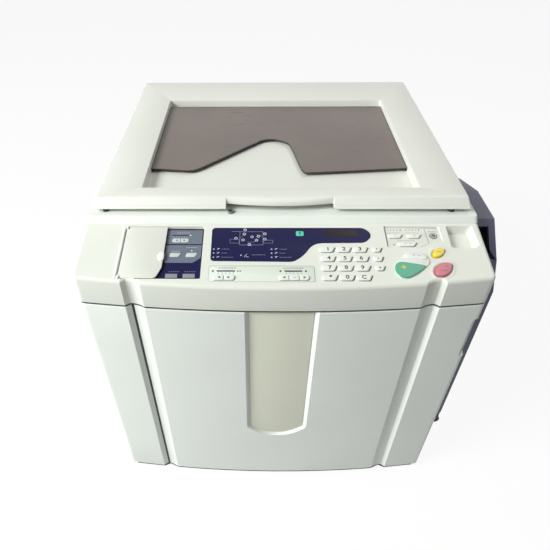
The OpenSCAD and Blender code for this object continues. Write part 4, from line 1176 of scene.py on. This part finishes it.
for x in (-105, -17):
    for v in ICON_ROWS:
        icons += dots(1.1, (x, v)) + lines(0.6, (x + 5, v - 1.4, x + 8.4, v + 1.4),
                                           (x + 5, v + 1.5, x + 9, v + 1.5))
icons += dots(1.1, (-63.5, 41)) + lines(0.7, (-58.5, 38, -54.5, 43.5), (-56, 38, -52, 38))
ink("foil_icons", icons, 0.6, "white_ink")
captions = [(x, v, 2.2, 0.7, 3, count) for x in (-93, -5) for v, count in zip(ICON_ROWS, (4, 3, 6))]
ink("foil_captions", dashes(*captions, (-47, 42, 2.2, 0.7, 3, 7)), 0.6, "grey_ink")

# %% Marks of the bay
ink("bay_bar", lines(2.4, (-172.6, 86, -147, 86)), -3.86)
bay_marks = dashes((-171, 82.6, 1.8, 0.7, 4.2, 6)) + dots(1.3, (-144, 86.3))
bay_marks += dashes((-165, 91.4, 2.4, 0.7, 3.4, 6), (-148, 60.6, 2.4, 0.6, 3.4, 5),
                    (-170, 53, 2.4, 0.6, 3.4, 4)) + [arrow(-139.5, 54, 2, 90)]
ink("bay_marks", bay_marks, -3.86, "white_ink")
ink("bay_arrows", [arrow(-164.5, 75, 2.2, 180), arrow(-152.5, 75, 2.2, 0)], -2.9)
bay_captions = dashes(*((x, 12.6, 2.4, 0.6, 3.4, 5) for x in (-171, -147)))
ink("bay_captions", bay_captions, -4.0, "grey_ink")

# %% Signs on the large keys
diamond = drawn([(177, 12), (181, 16), (177, 20), (173, 16)])
proof_marks = lines(0.6, (194.4, 38.4, 194.4, 41.6), (196.6, 38.4, 196.6, 41.6), (200, 39, 206, 38.2))
stop_marks = [arrow(240, 18, 2.2, 90)] + lines(1, (230, 9.6, 240, 9.6))
for key, slot, finish, marks, lift in (
        ("start", "key_green", "start_ink", [diamond], 3.83),
        ("proof", "black_plastic", "grey_line", proof_marks, 3.8),
        ("reset", "black_plastic", "ink", lines(0.8, (230.4, 46, 238, 46)), 3.8),
        ("stop", "key_pink", "stop_ink", stop_marks, 3.8)):
    ink(key + "_sign", marks, lift, finish, 0.08, key + "_key")


# %% [markdown]
# ## Small turned parts
#
# Bumpers, the lid's sensor and the trays' knobs are turned shapes: a profile of radius and height that
# is carried round an axis. A few stations on each rim give it the small radius that catches the light.

# %% Turned parts
def upright(x, y, z):
    """Placement with the axis along +Z."""
    return lambda p: p + np.array([x, y, z])


def sideways(x, y, z, way):
    """Placement with the axis along Y, in the direction way."""
    return lambda p: np.stack([x + p[..., 0], y + way * p[..., 2], z + p[..., 1]], -1)


bumper_lo, bumper_hi = np.array(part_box("lid_bumpers"))
bumper_y = (bumper_lo[1] + bumper_hi[1]) / 2
bumper = mm([(5, 0), (5, 5.6), (4.6, 6.5), (3.8, 6.9)])
piece("bumpers", "rubber",
      [turned(bumper, upright(x, bumper_y, scan_hi[2]))
       for x in (bumper_lo[0] + 5 * MM, bumper_hi[0] - 5 * MM)], "lid_bumpers")
sensor_x, sensor_y, _ = np.mean(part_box("lid_sensor"), 0)
sensor_place = upright(sensor_x, sensor_y, scan_hi[2])
sensor_ring = mm([(5, 0), (5, 3.2), (4.6, 3.8), (4, 4), (3.4, 3.8), (3.2, 3), (3.2, 2)])
piece("sensor_ring", "grey_line", [turned(sensor_ring, sensor_place)], "lid_sensor")
sensor_core = mm([(3.1, 1.5), (3.1, 2.8), (2.2, 3.3), (0.8, 3.4)])
piece("sensor_core", "black", [turned(sensor_core, sensor_place)])
knob_lo, knob_hi = np.array(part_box("tray_knobs"))
knob_x, _, knob_z = (knob_lo + knob_hi) / 2
knob = mm([(9.4, 0), (10, 0.6), (10, 4.8), (9.6, 5.6), (8.8, 6), (5.4, 6), (4.8, 5.2), (1.2, 5.1)])
piece("pivot_knobs", "black",
      [turned(knob, sideways(knob_x, s * (knob_hi[1] - 6 * MM), knob_z, s)) for s in (-1, 1)],
      "tray_knobs")

# %% [markdown]
# ## Softened copies of the plain covers
#
# The sheet and moulded covers behind the front are right in shape already, but their edges are perfectly
# sharp, which no real part is. A copy of each mesh is merged, its flat triangles are joined to whole
# faces, and a bevel rounds the edges. The copy then stands for the original.

# %% Softened covers
MERGE, FLAT, BEVEL_FROM = 0.01 * MM, math.radians(1), math.radians(30)
body_of_node = {node: body for body, members in frame["record"]["behaviour"]["bodies"].items()
                for node in members}


def softened(node, finish, width):
    """Puts a copy of a node's mesh in its place, with points merged, flat faces joined and a bevel."""
    mesh = frame["nodes"][node].data.copy()
    mesh.name = node + "_soft"
    form = bmesh.new()
    form.from_mesh(mesh)
    bmesh.ops.remove_doubles(form, verts=form.verts, dist=MERGE)
    bmesh.ops.dissolve_limit(form, angle_limit=FLAT, verts=form.verts, edges=form.edges)
    for face in form.faces:
        face.smooth = True
    form.to_mesh(mesh)
    form.free()
    for attribute in ("sharp_edge", "custom_normal"):
        if attribute in mesh.attributes:
            mesh.attributes.remove(mesh.attributes[attribute])
    mesh.materials.clear()
    mesh.materials.append(FINISH[finish])
    made = placed(node + "_soft", mesh, body_of_node[node], node)
    bevel = made.modifiers.new("edge", "BEVEL")
    bevel.width, bevel.segments = width * MM, 2
    bevel.limit_method, bevel.angle_limit = "ANGLE", BEVEL_FROM
    bevel.harden_normals = True


for slot, finish, widths in (
        # the left side cover takes the darker side finish: painted shade against the strong left lamps
        ("housing_white", "side_white_painted_shade", {"side_cover_left": 1.2}),
        ("housing_white", "housing_white", {"side_cover_right": 1.2, "rear_cover": 1.2}),
        ("base_dark", "black", {"base_pan": 1.5, "tray_brackets": 0.8, "feed_tray_hinges": 1}),
        ("tray_navy", "tray", {"receiving_tray": 1.2, "paper_guides": 1, "feed_tray": 3}),
        ("black_plastic", "black", {"power_inlet": 0.6}), ("rubber_black", "rubber", {"feet": 0.8}),
        ("chassis_grey", "dark_metal", {"chassis": 1}), ("inner_grey", "inner_grey", {"inner_panel": 1}),
        ("drum_slate", "slate_drum", {"drum_unit": 2}), ("pad_white", "pad", {"lid_pad": 0.6})):
    for node, width in widths.items():
        softened(node, finish, width)
print("softened covers are in place")

# %% Finishes of the nodes that stay
for node, finish in (("platen_glass", "glass"), ("door_hinge_pins", "steel"), ("lid_hinge_pins", "steel")):
    kept = frame["nodes"][node]
    for k in range(len(kept.material_slots)):
        kept.material_slots[k].material = FINISH[finish]
print("kept nodes:", [n for n in frame["nodes"] if not frame["nodes"][n].hide_render])

# %% [markdown]
# ## Floor
#
# A pale floor carries the machine and its shadow. Towards the camera it is partly white by itself, so
# it blends with the white room, while the shadow still shows where the machine stands.

# %% Floor
FLOOR, FLOOR_TONE, FLOOR_GLOW, WHITE_SHARE = 6.0, 0.55, 1.08, 0.85
floor_mesh = bpy.data.meshes.new("floor")
floor_mesh.from_pydata([(-FLOOR, -FLOOR, 0), (FLOOR, -FLOOR, 0), (FLOOR, FLOOR, 0), (-FLOOR, FLOOR, 0)],
                       [], [(0, 1, 2, 3)])
floor = bpy.data.objects.new("floor", floor_mesh)
scene.collection.objects.link(floor)
floor_finish = bpy.data.materials.new("floor")
floor_finish.use_nodes = True
tree = floor_finish.node_tree
tree.nodes.clear()
pale = add_node(tree, "BsdfDiffuse", {"Color": (FLOOR_TONE, FLOOR_TONE, FLOOR_TONE, 1)})
bright = add_node(tree, "Emission", {"Color": WHITE, "Strength": FLOOR_GLOW})
add_node(tree, "OutputMaterial", {0: camera_white(tree, pale, bright, WHITE_SHARE)})
floor_mesh.materials.append(floor_finish)
print("floor: %.0f m wide" % (2 * FLOOR))
